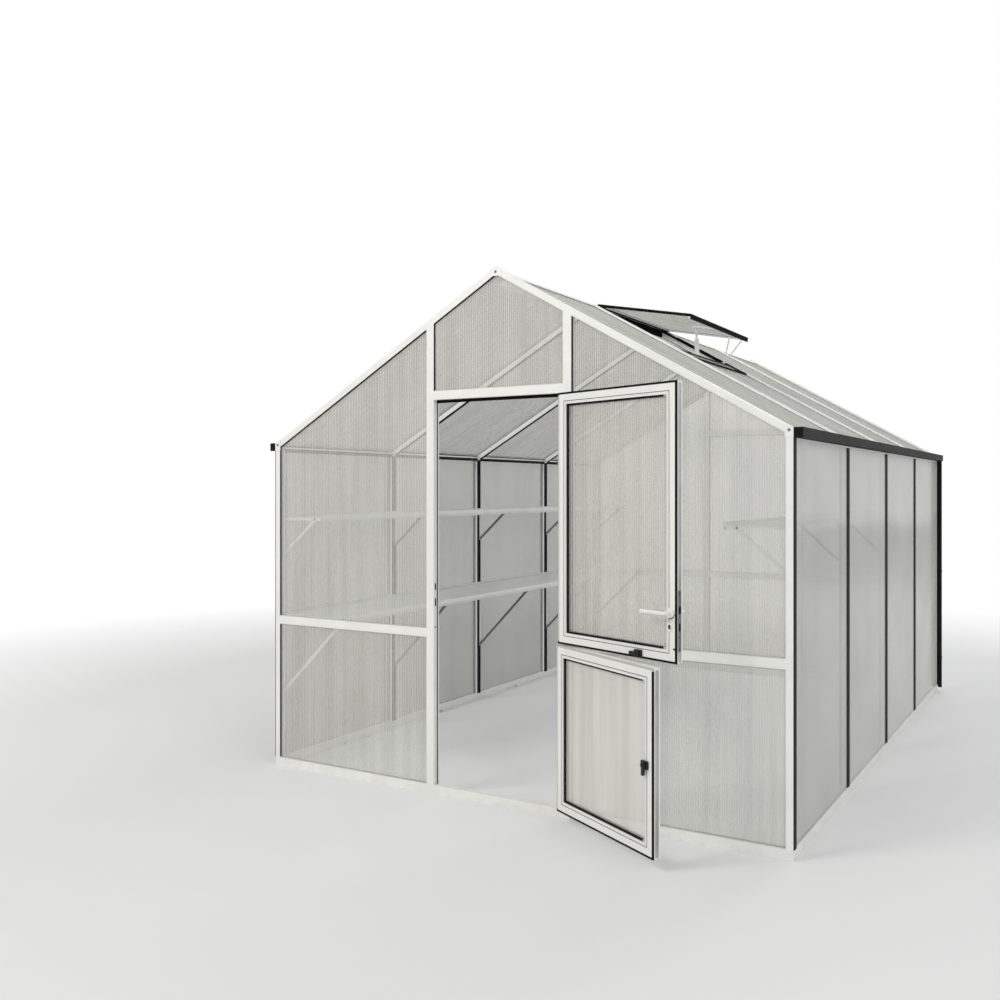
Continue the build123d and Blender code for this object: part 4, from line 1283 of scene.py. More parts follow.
@dataclass
class Assembly:
    """Sub-assembly that moves with one body, with the work that all of them share."""

    shop: Workshop
    body: Body = field(default=Body.HOUSE, kw_only=True)

    @property
    def finishes(self) -> Palette:
        """Give the shared finishes."""
        return self.shop.palette

    def dress(self, finish: bpy.types.Material, *nodes: str) -> None:
        """Give CAD nodes a finish.

        Args:
            finish: The finish.
            *nodes: Names of the nodes.
        """
        for name in nodes:
            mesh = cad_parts[name].data
            mesh.materials.clear()
            mesh.materials.append(finish)
            log.info("%s is finished in %s", name, finish.name)

    def piece(self, name: str, mesh: bpy.types.Mesh, slot: Slot, finish: bpy.types.Material | None = None,
              body: Body | None = None) -> None:
        """Make a mesh a piece that rides on a body.

        Args:
            name: Name of the piece.
            mesh: Its mesh, in place.
            slot: Material slot that it belongs to; not used.
            finish: Its finish, where the mesh has none yet.
            body: Body that it moves with, where that isn't the sub-assembly's own.
        """
        mesh.name = name
        if finish:
            mesh.materials.clear()
            mesh.materials.append(finish)
        obj = bpy.data.objects.new(name, mesh)
        bpy.context.scene.collection.objects.link(obj)
        rides_on = body or self.body
        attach(obj, rides_on.value)
        log.info("%s rides on %s, %d faces", name, rides_on.value, len(mesh.polygons))

    def strip(self, name: str, paths: list[Path], facing: Vector, width: float, height: float,
              closed: bool = False, slot: Slot = Slot.SEAL, finish: bpy.types.Material | None = None) -> None:
        """Make a piece of strips that follow paths, of black rubber unless a finish is given.

        Args:
            name: Name of the piece.
            paths: Middle lines of the strips.
            facing: Direction that the strips stand up in.
            width: Width across the path.
            height: Height along facing.
            closed: Whether each path is a ring.
            slot: Material slot.
            finish: Its finish.
        """
        look = finish or self.finishes.seal
        inputs = {"Facing": facing, "Width": width, "Height": height, "Material": look}
        mesh = self.shop.strips.bake(path_mesh(paths, closed), inputs)
        self.piece(name, merge([mesh]), slot)

    def fasten(self, name: str, spots: list[Spot], radius: float, height: float, finish: bpy.types.Material,
               sides: int = 14) -> None:
        """Make a piece of screw or bolt heads.

        Args:
            name: Name of the piece.
            spots: Places and directions of the heads.
            radius: Radius of a head.
            height: Height of a head.
            finish: Their finish.
            sides: Number of sides, 6 for a hexagon, which has no dark recess.
        """
        inputs = {
            "Radius": radius, "Height": height, "Sides": sides, "Material": finish,
            "Recess": self.finishes.seal if sides > HEXAGON else finish,
        }
        mesh = self.shop.fasteners.bake(spot_mesh(spots), inputs)
        self.piece(name, mesh, Slot.METAL)

    def glaze(self, node: str, finish: bpy.types.Material, flat: Flat) -> None:
        """Finish a node of twin-wall sheets and fill them with webs.

        Args:
            node: Name of the node.
            finish: Finish of its skins.
            flat: Directions of the sheets, with the flutes along.
        """
        self.dress(finish, node)
        sheets = Sheets()
        inputs = {
            "Along": flat.along, "Across": flat.across, "Normal": flat.normal, "Pitch": sheets.pitch,
            "Web": sheets.web, "Depth": sheets.depth, "Inset": sheets.inset, "Material": self.finishes.web,
        }
        webs = [self.shop.flutes.bake(mesh, inputs) for mesh in loose_parts(node)]
        self.piece(f"{node}_flutes", merge(webs), Slot.SHEET)


# Sub-assemblies


@dataclass
class GroundFrame(Assembly):
    """Sills and the bolts that hold them to the ground."""

    bolt_radius: float = 7.0 * MM
    bolt_height: float = 6.0 * MM
    washer_radius: float = 10.0 * MM
    washer_height: float = 1.6 * MM
    washer_sides: int = 20
    sill_width: float = 30.0 * MM
    foot_top: float = 5.0 * MM
    foot_middle: float = 11.0 * MM
    spacing: float = 1.0
    back_bolts: tuple[float, ...] = (-0.85, 0.0, 0.85)

    def bolt_spots(self, raise_by: float) -> list[Spot]:
        """Give the places of the ground bolts on the feet of the sills.

        Args:
            raise_by: Height over the foot.

        Returns:
            Places and directions.
        """
        low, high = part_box("side_sills")
        inner = high.x - self.sill_width - self.foot_middle
        level = self.foot_top + raise_by
        spots: list[Spot] = []
        along = low.y + self.spacing / 2
        while along < high.y:
            spots += [(Vector((side.value * inner, along, level)), Z) for side in Side]
            along += self.spacing
        back = high.y - self.foot_middle
        return spots + [(Vector((across, back, level)), Z) for across in self.back_bolts]

    def build(self) -> None:
        """Dress the sills and set the bolts."""
        self.dress(self.finishes.frame, "front_sill", "back_sill", "side_sills")
        zinc = self.finishes.zinc
        washers = self.bolt_spots(0.0)
        self.fasten("ground_washers", washers, self.washer_radius, self.washer_height, zinc, self.washer_sides)
        bolts = self.bolt_spots(self.washer_height)
        self.fasten("ground_bolts", bolts, self.bolt_radius, self.bolt_height, zinc, HEXAGON)


@dataclass
class Gables(Assembly):
    """The two gable frames with their sheets, seals, screws and strikes."""

    seal_width: float = 3.6 * MM
    seal_height: float = 3.6 * MM
    shadow_width: float = 5.6 * MM
    shadow_height: float = 4.0 * MM
    shadow_fall: float = 0.3
    screw_radius: float = 6.2 * MM
    screw_height: float = 2.4 * MM
    stop_width: float = 8.0 * MM
    stop_face: float = 14.0 * MM
    stop_seal: float = 3.2 * MM
    jamb_seal: float = 3.0 * MM
    head_drop: float = 15.0 * MM
    post_width: float = 42.0 * MM
    strikes: tuple[Pair, ...] = ((1016.0 * MM, 33.0 * MM), (940.0 * MM, 39.0 * MM))
    strike_width: float = 11.0 * MM
    strike_thickness: float = 1.0 * MM
    strike_inset: float = 1.5 * MM
    strike_middle: float = -1.0 * MM
    keep_level: float = 818.0 * MM
    keep_radius: float = 4.0 * MM
    keep_height: float = 1.0 * MM

    def seals(self, name: str, node: str, outward: float) -> None:
        """Lay pale seals round the sheets of a gable, and beside them black strips of painted shadow down their
        left edges.

        Args:
            name: Start of the pieces' names.
            node: Node of the sheets.
            outward: Direction of the outside, as the sign of Y.
        """
        bite = Sheets().bite
        inset = bite + self.seal_width / 2
        outer: list[Path] = []
        inner: list[Path] = []
        shadow_lines: list[Path] = []
        for mesh in loose_parts(node):
            near, far = sorted(span(mesh, Y), key=lambda value: -outward * value)
            outer.append(GABLE.ring(mesh, inset, near + outward * self.seal_height / 2))
            inner.append(GABLE.ring(mesh, inset, far - outward * self.seal_height / 2))
            # Painted shadow: a black strip down the left edge and under the left rake, where the frame shades
            # the sheet.
            edge = GABLE.ring(mesh, bite + self.shadow_width / 2, near + outward * self.shadow_height / 2)
            shadow_lines.append(self.left_run(edge, outward))
        for word, rings in (("outer", outer), ("inner", inner)):
            self.strip(
                f"{name}_{word}_seals", rings, Y, self.seal_width, self.seal_height, closed=True,
                finish=self.finishes.pale_seal,
            )
        self.strip(f"{name}_drain_gaps", shadow_lines, Y, self.shadow_width, self.shadow_height)

    def left_run(self, ring: Path, outward: float) -> Path:
        """Give the part of a ring that runs down the left of a sheet, as seen from outside.

        Args:
            ring: Corners, anticlockwise as seen from the front.
            outward: Direction of the outside, as the sign of Y.

        Returns:
            Corners of that part.
        """
        count = len(ring)
        drops = [(ring[i] - ring[(i + 1) % count]).normalized().z for i in range(count)]
        chosen = {i for i, drop in enumerate(drops) if drop * -outward > self.shadow_fall}
        start = next(i for i in chosen if (i - 1) % count not in chosen)
        return [ring[(start + step) % count] for step in range(len(chosen) + 1)]

    def plate_spots(self) -> list[Spot]:
        """Place the screws on the ridge plate and the eave plates of the front.

        Returns:
            Places and directions.
        """
        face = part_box("gable_plates")[0].y
        spots: list[Spot] = []
        for mesh in loose_parts("gable_plates"):
            low, high = box_of(mesh)
            if low.y < face + MM:
                centre = (low + high) / 2
                spots.append((Vector((centre.x, face, centre.z)), -Y))
        return spots

    def door_seals(self) -> None:
        """Lay the seals on the stops of the door opening, the head seal with its drooping lip; these black
        strips are partly real gaskets and partly painted shade in the rebates and under the lintel.
        """
        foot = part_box("front_sill")[1].z
        lintel = loose_parts("door_lintel")[0]
        head = span(lintel, Z)[0] + self.stop_width
        level = self.stop_face - self.stop_seal / 2
        side = max(abs(value) for value in span(lintel, X)) - self.jamb_seal / 2
        jambs = [[Vector((across, level, up)) for up in (foot, head)] for across in (-side, side)]
        self.strip("door_jamb_seals", jambs, Y, self.jamb_seal, self.stop_seal)
        lip = [Vector((across, level, head - self.head_drop / 2)) for across in (-side, side)]
        self.strip("door_head_seal", [lip], Y, self.head_drop, self.stop_seal)

    def post_strikes(self) -> None:
        """Set the strikes of the lock and the keep of the latch into the left door post."""
        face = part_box("door_posts")[0].x + self.post_width
        flat = Flat(X, Z, -Y)
        inlays = [
            block(
                Vector((face - self.strike_inset, self.strike_middle, level)), flat,
                (self.strike_thickness, tall, self.strike_width),
            )
            for level, tall in self.strikes
        ]
        self.piece("strike_inlays", merge(inlays), Slot.BLACK, self.finishes.seal)
        keep = [(Vector((face, self.strike_middle, self.keep_level)), X)]
        self.fasten("latch_keep", keep, self.keep_radius, self.keep_height, self.finishes.seal)

    def build(self) -> None:
        """Dress the frames, glaze them and fit seals, screws and strikes."""
        self.dress(
            self.finishes.frame, "corner_posts", "door_posts", "back_posts", "door_lintel", "front_rails",
            "back_rails", "front_rakes", "back_rakes", "gable_plates",
        )
        for name in ("front", "back"):
            self.glaze(f"{name}_panes", self.finishes.gable_sheet, GABLE)
        for name, outward in (("front", -1.0), ("back", 1.0)):
            self.seals(name, f"{name}_panes", outward)
        self.fasten(
            "plate_screws", self.plate_spots(), self.screw_radius, self.screw_height, self.finishes.steel
        )
        self.door_seals()
        self.post_strikes()


@dataclass
class SideWalls(Assembly):
    """Wall posts, eave beams, cover strips and wall sheets, with black strips of painted shade over the slots on
    the bars' inner faces.
    """

    slot_rubber: float = 23.0 * MM
    side_rubber: float = 12.0 * MM
    rubber_height: float = 1.2 * MM
    lip_rubber: float = 10.6 * MM
    groove_start: float = 11.0 * MM
    groove_rubber: float = 8.6 * MM
    groove_depth: float = 1.2 * MM
    top_start: float = 29.0 * MM
    top_rubber: float = 5.6 * MM
    end_distance: float = 6.0 * MM

    def post_lines(self) -> list[Path]:
        """Give the middle lines of the black strips of painted shade on the inner faces of the wall posts.

        Returns:
            One line for each post.
        """
        half = self.rubber_height / 2
        return [post.upright(post.inner - post.side * half, post.middle) for post in bars("wall_posts")]

    def side_lines(self) -> list[Path]:
        """Give the middle lines of the black strips of painted shade on both sides of the wall posts, next to
        their inner faces.

        Returns:
            Two lines for each post.
        """
        half = self.rubber_height / 2
        return [
            post.upright(post.inner + post.side * self.side_rubber / 2, along)
            for post in bars("wall_posts")
            for along in (post.low.y - half, post.high.y + half)
        ]

    def eave_lines(self, up: float, inward: float) -> list[Path]:
        """Give lines along the inner faces of the eave beams.

        Args:
            up: Height over the underside of the beams.
            inward: Distance from the inner face towards the middle of the house.

        Returns:
            One line for each side.
        """
        return [
            [
                Vector((beam.inner - beam.side * inward, along, beam.low.z + up))
                for along in (beam.low.y + self.end_distance, beam.high.y - self.end_distance)
            ]
            for beam in bars("eave_beams")
        ]

    def build(self) -> None:
        """Dress the bars, glaze the walls and lay the black strips of painted shade inside."""
        self.dress(self.finishes.bar, "wall_posts", "eave_beams")
        self.dress(self.finishes.dark, "cover_strips")
        self.glaze("left_wall_panes", self.finishes.wall_sheet, WALL)
        self.glaze("right_wall_panes", self.finishes.wall_sheet, WALL)
        # Painted shade: black strips on the posts' inner faces and beside them, and along the inner faces of the
        # eave beams.
        self.strip("post_rubber", self.post_lines(), Y, self.rubber_height, self.slot_rubber)
        self.strip("post_side_rubber", self.side_lines(), X, self.rubber_height, self.side_rubber)
        half = self.rubber_height / 2
        for name, start, inward, tall in (
            ("eave_lip_rubber", 0.0, half, self.lip_rubber),
            ("eave_groove_rubber", self.groove_start, -self.groove_depth, self.groove_rubber),
            ("eave_top_rubber", self.top_start, half, self.top_rubber),
        ):
            self.strip(name, self.eave_lines(start + tall / 2, inward), Z, self.rubber_height, tall)


@dataclass
class Roof(Assembly):
    """Ridge beam, roof bars and roof sheets, with covers over the bars, and cleats and black strips of painted
    shade below them.
    """

    pitch: float = 30.0
    slot_rubber: float = 23.0 * MM
    rubber_height: float = 3.6 * MM
    head_distance: float = 30.0 * MM
    foot_distance: float = 40.0 * MM
    cleat: Point = (44.0 * MM, 34.0 * MM, 5.0 * MM)
    cleat_bevel: float = 1.0 * MM
    cover_width: float = 9.0 * MM
    cover_height: float = 11.0 * MM
    cover_head: float = 14.0 * MM
    cover_shift: float = 4.0 * MM
    vent_middle: float = 1.5

    def clad(self, side: Side, node: str) -> list[bpy.types.Mesh]:
        """Glaze a slope, and lay the covers over its bars and the black strips of painted shade below them.

        Args:
            side: Side of the slope.
            node: Node of its sheets.

        Returns:
            The cleats at the feet of its bars.
        """
        flat = slope(self.pitch, side)
        self.glaze(node, self.finishes.roof_sheet, flat)
        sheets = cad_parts[node].data
        under, top = span(sheets, flat.normal)
        head, eave = span(sheets, flat.along)
        cleats: list[bpy.types.Mesh] = []
        rubber: list[Path] = []
        covers: list[Path] = []
        for mesh in loose_parts("roof_bars"):
            low, high = box_of(mesh)
            if (low.x + high.x) * side.value < 0:
                continue
            start, end = span(mesh, flat.along)
            foot = end - self.foot_distance
            level = span(mesh, flat.normal)[0] - self.rubber_height / 2
            middle = (low.y + high.y) / 2
            # Painted shade: a black strip along the underside of each bar.
            rubber.append([flat.world(middle, place, level) for place in (start + self.head_distance, foot)])
            seat = flat.world(middle, foot, under - 2 * self.cleat[2])
            cleats.append(block(seat, flat, self.cleat, self.cleat_bevel))
            beside = middle + (self.cover_shift if middle > self.vent_middle else -self.cover_shift)
            over = top + self.cover_height / 2
            covers.append([flat.world(beside, place, over) for place in (head + self.cover_head, eave)])
        word = side.name.lower()
        self.strip(
            f"{word}_roof_covers", covers, flat.normal, self.cover_width, self.cover_height, slot=Slot.METAL,
            finish=self.finishes.frame,
        )
        self.strip(f"{word}_bar_rubber", rubber, flat.normal, self.slot_rubber, self.rubber_height)
        return cleats

    def build(self) -> None:
        """Dress the bars, clad both slopes and set the cleats."""
        self.dress(self.finishes.bar, "ridge_beam", "roof_bars")
        cleats = self.clad(Side.LEFT, "left_roof_panes") + self.clad(Side.RIGHT, "right_roof_panes")
        self.piece("bar_cleats", merge(cleats), Slot.METAL, self.finishes.frame)


@dataclass
class RoofVent(Assembly):
    """Vent with its curb, rubber edges, opener and stays."""

    pitch: float = 10.6
    roof_pitch: float = 30.0
    frame_beyond_sheet: float = 24.0 * MM
    edge_width: float = 1.5 * MM
    edge_height: float = 15.0 * MM
    edge_drop: float = 1.6 * MM
    lip_width: float = 1.8 * MM
    lip_height: float = 26.0 * MM
    lip_drop: float = 7.4 * MM
    gasket_width: float = 28.0 * MM
    gasket_height: float = 1.6 * MM
    gasket_offset: float = 3.5 * MM
    gasket_beyond_sheet: float = 19.2 * MM
    opening_inset: float = 18.0 * MM
    ring_start: float = 100.0 * MM
    ring_end: float = 612.0 * MM
    ring_width: float = 4.0 * MM
    ring_height: float = 14.0 * MM
    ring_middle: float = 1.4 * MM
    beam_shade_height: float = 46.0 * MM
    beam_shade_thickness: float = 2.0 * MM
    beam_shade_drop: float = 50.0 * MM

    def edge_rubber(self) -> None:
        """Fit the rubber round the vent's edges, its deep lip and the gasket under its hinge."""
        flat = slope(self.pitch, Side.RIGHT)
        sheet = loose_parts("vent_pane")[0]
        middle = sum(span(sheet, flat.normal)) / 2
        beyond = -self.frame_beyond_sheet - self.edge_width / 2
        ring = flat.ring(sheet, beyond, middle - self.edge_drop)
        self.strip("vent_edge_rubber", [ring], flat.normal, self.edge_width, self.edge_height, closed=True)
        near, far = span(sheet, Y)
        start, end = span(sheet, flat.along)
        ends = (near - self.frame_beyond_sheet, far + self.frame_beyond_sheet)
        lip = [flat.world(place, end - beyond, middle - self.lip_drop) for place in ends]
        self.strip("vent_lip_rubber", [lip], flat.normal, self.lip_width, self.lip_height)
        hinge = start - self.gasket_offset
        beside_hinge = [
            vert.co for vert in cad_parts["vent_frame"].data.vertices
            if abs(vert.co.dot(flat.along) - hinge) < self.gasket_width
        ]
        level = min(place.dot(flat.normal) for place in beside_hinge) - self.gasket_height / 2
        ends = (near - self.gasket_beyond_sheet, far + self.gasket_beyond_sheet)
        gasket = [flat.world(place, hinge, level) for place in ends]
        self.strip("vent_hinge_gasket", [gasket], flat.normal, self.gasket_width, self.gasket_height)

    def opening_rubber(self) -> None:
        """Lay rubber round the opening in the roof, and hang a black strip of painted shade on the side of the
        ridge beam below the hinge.
        """
        flat = slope(self.roof_pitch, Side.RIGHT)
        near, far = span(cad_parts["vent_frame"].data, Y)
        near += self.opening_inset
        far -= self.opening_inset
        face = max(span(mesh, flat.normal)[1] for mesh in loose_parts("right_roof_panes"))
        start = span(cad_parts["ridge_beam"].data, flat.along)[1]
        corners = ((near, self.ring_start), (near, self.ring_end), (far, self.ring_end), (far, self.ring_start))
        path = [flat.world(across, along + start, face + self.ring_middle) for across, along in corners]
        self.strip("opening_rubber", [path], flat.normal, self.ring_width, self.ring_height)
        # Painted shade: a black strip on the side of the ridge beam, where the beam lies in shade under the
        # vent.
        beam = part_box("ridge_beam")[1]
        level = beam.z - self.beam_shade_drop
        beam_shade = [Vector((beam.x + self.beam_shade_thickness, along, level)) for along in (near, far)]
        self.strip("hinge_painted_shade", [beam_shade], Z, self.beam_shade_thickness, self.beam_shade_height)

    def build(self) -> None:
        """Dress the vent, glaze it and fit its rubber and the strip of painted shade below its hinge."""
        self.dress(self.finishes.frame, "vent_frame", "vent_stays", "vent_opener")
        self.dress(self.finishes.seal, "vent_curb", "vent_seal")
        self.glaze("vent_pane", self.finishes.roof_sheet, slope(self.pitch, Side.RIGHT))
        self.edge_rubber()
        self.opening_rubber()


@dataclass
class RainGoods(Assembly):
    """Gutters with the liners of their joints, and downpipes."""

    bay: float = 1.0
    joints: tuple[int, ...] = (1, 2, 3)
    gutter_width: float = 40.0 * MM
    wall: float = 2.5 * MM
    liner_length: float = 46.0 * MM
    liner_thickness: float = 1.2 * MM

    def liners(self) -> list[bpy.types.Mesh]:
        """Make the liners that bridge the joints of the gutters.

        Returns:
            The floor and the outer wall of each liner.
        """
        low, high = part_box("gutters")
        inner = high.x - self.gutter_width + self.wall
        outer = high.x - self.wall
        floor = low.z + self.wall
        thick = self.liner_thickness
        rise = (high.z - floor) - thick
        meshes: list[bpy.types.Mesh] = []
        for side in Side:
            for number in self.joints:
                along = number * self.bay
                base = Vector((side.value * (inner + outer) / 2, along, floor + thick / 2))
                meshes.append(block(base, LEVEL, (outer - inner, self.liner_length, thick)))
                middle = Vector((side.value * (outer - thick / 2), along, high.z - rise / 2))
                meshes.append(block(middle, LEVEL, (thick, self.liner_length, rise)))
        return meshes

    def build(self) -> None:
        """Dress the rain goods and bridge the joints."""
        self.dress(self.finishes.dark, "gutters", "downpipes")
        self.piece("gutter_liners", merge(self.liners()), Slot.DARK, self.finishes.dark)


@dataclass
class Shelving(Assembly):
    """Shelves and bench on brackets, with struts, black blocks of painted shadow on the arm tips, edge strips
    and bolts.
    """

    bolt_radius: float = 6.5 * MM
    bolt_height: float = 4.5 * MM
    cap: Point = (2.0 * MM, 10.0 * MM, 13.0 * MM)
    cap_bevel: float = 0.4 * MM
    foot: float = 8.0 * MM
    arm: float = 14.0 * MM
    end_distance: float = 26.0 * MM
    setback: float = 46.0 * MM
    strut_width: float = 13.0 * MM
    strut_depth: float = 10.8 * MM
    strut_rise: float = 6.0 * MM
    front_reach: float = 0.3
    edge_height: float = 20.0 * MM
    edge_thickness: float = 1.0 * MM

    def foot_spots(self, arms: list[SideBox]) -> list[Spot]:
        """Place the bolts that hold brackets to the wall posts.

        Args:
            arms: Boxes of the brackets.

        Returns:
            Places and directions.
        """
        return [
            (Vector((arm.outer - arm.side * self.foot, arm.middle, level)), X * -arm.side)
            for arm in arms
            for level in (arm.high.z - self.end_distance, arm.low.z + self.end_distance)
        ]

    def joint_spots(self, arms: list[SideBox]) -> list[Spot]:
        """Place the bolts where the struts meet the arms.

        Args:
            arms: Boxes of the brackets.

        Returns:
            Places and directions.
        """
        spots: list[Spot] = []
        for arm in arms:
            reach = arm.inner + arm.side * self.setback
            face = arm.middle - self.strut_depth / 2
            spots.append((Vector((reach, face, arm.high.z - self.arm / 2)), -Y))
        return spots

    def struts(self, arms: list[SideBox]) -> list[Path]:
        """Give the middle lines of the struts.

        Args:
            arms: Boxes of the brackets.

        Returns:
            One line for each bracket, from the wall up to the arm.
        """
        return [
            [
                Vector((arm.outer - arm.side * self.foot / 2, arm.middle, arm.low.z + self.strut_rise)),
                Vector((arm.inner + arm.side * self.setback, arm.middle, arm.high.z - self.arm)),
            ]
            for arm in arms
        ]

    def caps(self, arms: list[SideBox]) -> list[bpy.types.Mesh]:
        """Make the black blocks of painted shadow on the tips of the arms.

        Args:
            arms: Boxes of the brackets.

        Returns:
            One block for each bracket.
        """
        caps: list[bpy.types.Mesh] = []
        for arm in arms:
            tip = arm.inner - arm.side * self.cap[0] / 2
            middle = Vector((tip, arm.middle, arm.high.z - self.arm / 2))
            caps.append(block(middle, LEVEL, self.cap, self.cap_bevel))
        return caps

    def edge(self, node: str) -> Path:
        """Give the line along the front edge of a shelf.

        Args:
            node: Name of the shelf's node.

        Returns:
            Both ends of the line.
        """
        shelf = SideBox(*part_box(node))
        front = shelf.inner - shelf.side * self.edge_thickness / 2
        level = shelf.high.z - self.edge_height / 2
        return [Vector((front, along, level)) for along in (shelf.low.y, shelf.high.y)]

    def build(self) -> None:
        """Dress the shelves, and fit struts, the blocks of painted shadow, edge strips and bolts."""
        self.dress(self.finishes.shelf, "left_shelf", "right_shelf", "left_bench")
        self.dress(self.finishes.frame, "shelf_brackets", "bench_brackets")
        for word in ("shelf", "bench"):
            arms = bars(f"{word}_brackets")
            for kind, spots, finish in (
                ("foot", self.foot_spots(arms), self.finishes.zinc),
                ("joint", self.joint_spots(arms), self.finishes.black),
            ):
                self.fasten(f"{word}_{kind}_bolts", spots, self.bolt_radius, self.bolt_height, finish, HEXAGON)
            # Painted shadow: black blocks on the arm tips.
            self.piece(f"{word}_arm_caps", merge(self.caps(arms)), Slot.BLACK, self.finishes.black)
            struts = self.struts(arms)
            front = [path for path in struts if path[0].y < self.front_reach]
            inner = [path for path in struts if path[0].y >= self.front_reach]
            # Painted shade: the struts further in get the dark steel finish instead of the front struts' white,
            # standing in for the shade inside the house.
            for kind, paths, finish in (
                ("front", front, self.finishes.frame), ("inner", inner, self.finishes.steel)
            ):
                self.strip(
                    f"{word}_{kind}_struts", paths, Y, self.strut_width, self.strut_depth, slot=Slot.METAL,
                    finish=finish,
                )
        edges = [self.edge(node) for node in ("left_shelf", "right_shelf", "left_bench")]
        self.strip(
            "shelf_edges", edges, Z, self.edge_thickness, self.edge_height, slot=Slot.SHELF,
            finish=self.finishes.frame,
        )


@dataclass
class DoorLeaf(Assembly):
    """One leaf of the stable door, in its own directions: x from the hinge, y outwards."""

    name: str
    latch: Body
    opening: float
    sheet: bpy.types.Material
    painted_light_head: float
    hinge: Pair = (363.0 * MM, -32.0 * MM)
    outer: float = -7.0 * MM
    inner: float = -41.0 * MM
    free_edge: float = 713.0 * MM
    screw_radius: float = 3.6 * MM
    screw_height: float = 2.0 * MM
    hinge_screw_x: float = 34.0 * MM
    hinge_screw_up: float = 12.0 * MM
    hinge_half: float = 22.5 * MM
    hinge_plate: float = 3.0 * MM
    channel_width: float = 12.0 * MM
    channel_height: float = 1.0 * MM
    channel_end: float = 8.0 * MM
    bead_beyond_sheet: float = 3.0 * MM
    bead_width: float = 3.6 * MM
    bead_height: float = 1.2 * MM
    bead_sunk: float = 0.36 * MM
    cap_radius: float = 5.0 * MM
    cap_height: float = 1.2 * MM
    cap_bevel: float = 0.4 * MM
    cap_sides: int = 20
    knob_rim: float = 0.1 * MM

    @property
    def flat(self) -> Flat:
        """Give the directions across the leaf, up and outwards, as it stands open.

        Returns:
            The directions.
        """
        turn = math.radians(180.0 + self.opening)
        across = Vector((math.cos(turn), math.sin(turn), 0.0))
        return Flat(across, Z, Vector((-across.y, across.x, 0.0)))

    @property
    def depth(self) -> float:
        """Give the middle of the leaf's thickness."""
        return (self.outer + self.inner) / 2

    def world(self, x: float, y: float, z: float) -> Vector:
        """Give the point at leaf distances x and y and height z."""
        return Vector((*self.hinge, 0.0)) + self.flat.world(x, z, y)

    def rubber(self) -> bpy.types.Material:
        """Make the rubber of this leaf, black with painted light that turns it pale at the hinge and, where a
        band is given, along the head.

        Returns:
            The finish.
        """
        low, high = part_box(f"{self.name}_frame")
        across = self.flat.across
        start = Vector((*self.hinge, 0.0)).dot(across)
        return LeafRubber(f"{self.name}_rubber", tuple(across), start, low.z, high.z, self.painted_light_head).build()

    def hinge_spots(self) -> list[Spot]:
        """Place the screws in the leaf's hinge plates.

        Returns:
            Places and directions.
        """
        face = self.outer + self.hinge_plate
        middles = [box_of(mesh)[1].z - self.hinge_half for mesh in loose_parts(f"{self.name}_hinges")]
        return [
            (self.world(self.hinge_screw_x, face, middle + way * self.hinge_screw_up), self.flat.normal)
            for middle in middles
            for way in (-1.0, 1.0)
        ]

    def edge_channel(self) -> None:
        """Lay a grey zinc-finished channel along the free edge: painted shade on the leaf's edge face."""
        low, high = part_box(f"{self.name}_frame")
        channel = [
            self.world(self.free_edge + self.channel_height / 2, self.depth, level)
            for level in (low.z + self.channel_end, high.z - self.channel_end)
        ]
        self.strip(
            f"{self.name}_edge_channel", [channel], self.flat.across, self.channel_width, self.channel_height,
            slot=Slot.METAL, finish=self.finishes.zinc,
        )

    def bead_line(self) -> None:
        """Lay the line of rubber where the bead meets the frame, on the inner face."""
        level = self.world(0.0, self.inner + self.bead_sunk, 0.0).dot(self.flat.normal)
        bead = self.flat.ring(loose_parts(f"{self.name}_pane")[0], -self.bead_beyond_sheet, level)
        self.strip(
            f"{self.name}_bead_line", [bead], self.flat.normal, self.bead_width, self.bead_height, closed=True
        )

    def turn_latch(self) -> None:
        """Dress the turn latch and set a cap on its knob, which turns with it."""
        latch = self.name.replace("leaf", "latch")
        self.dress(self.finishes.black, f"{latch}_base", latch)
        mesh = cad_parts[latch].data
        out = self.flat.normal
        low, high = span(mesh, out)
        rim = [vert.co for vert in mesh.vertices if vert.co.dot(out) > high - self.knob_rim]
        centre = sum(rim, Vector()) / len(rim)
        centre += out * (low - centre.dot(out))
        cap = drum(centre, -out, self.cap_radius, self.cap_height, self.cap_sides, self.cap_bevel)
        self.piece(f"{latch}_cap", cap, Slot.BLACK, self.finishes.dark, self.latch)

    def build(self) -> None:
        """Dress the leaf, glaze it and fit its trim, screws and latch."""
        self.dress(self.finishes.frame, f"{self.name}_frame", f"{self.name}_hinges")
        self.dress(self.rubber(), f"{self.name}_seals")
        self.glaze(f"{self.name}_pane", self.sheet, self.flat)
        self.edge_channel()
        self.bead_line()
        self.fasten(
            f"{self.name}_hinge_screws", self.hinge_spots(), self.screw_radius, self.screw_height,
            self.finishes.zinc,
        )
        self.turn_latch()


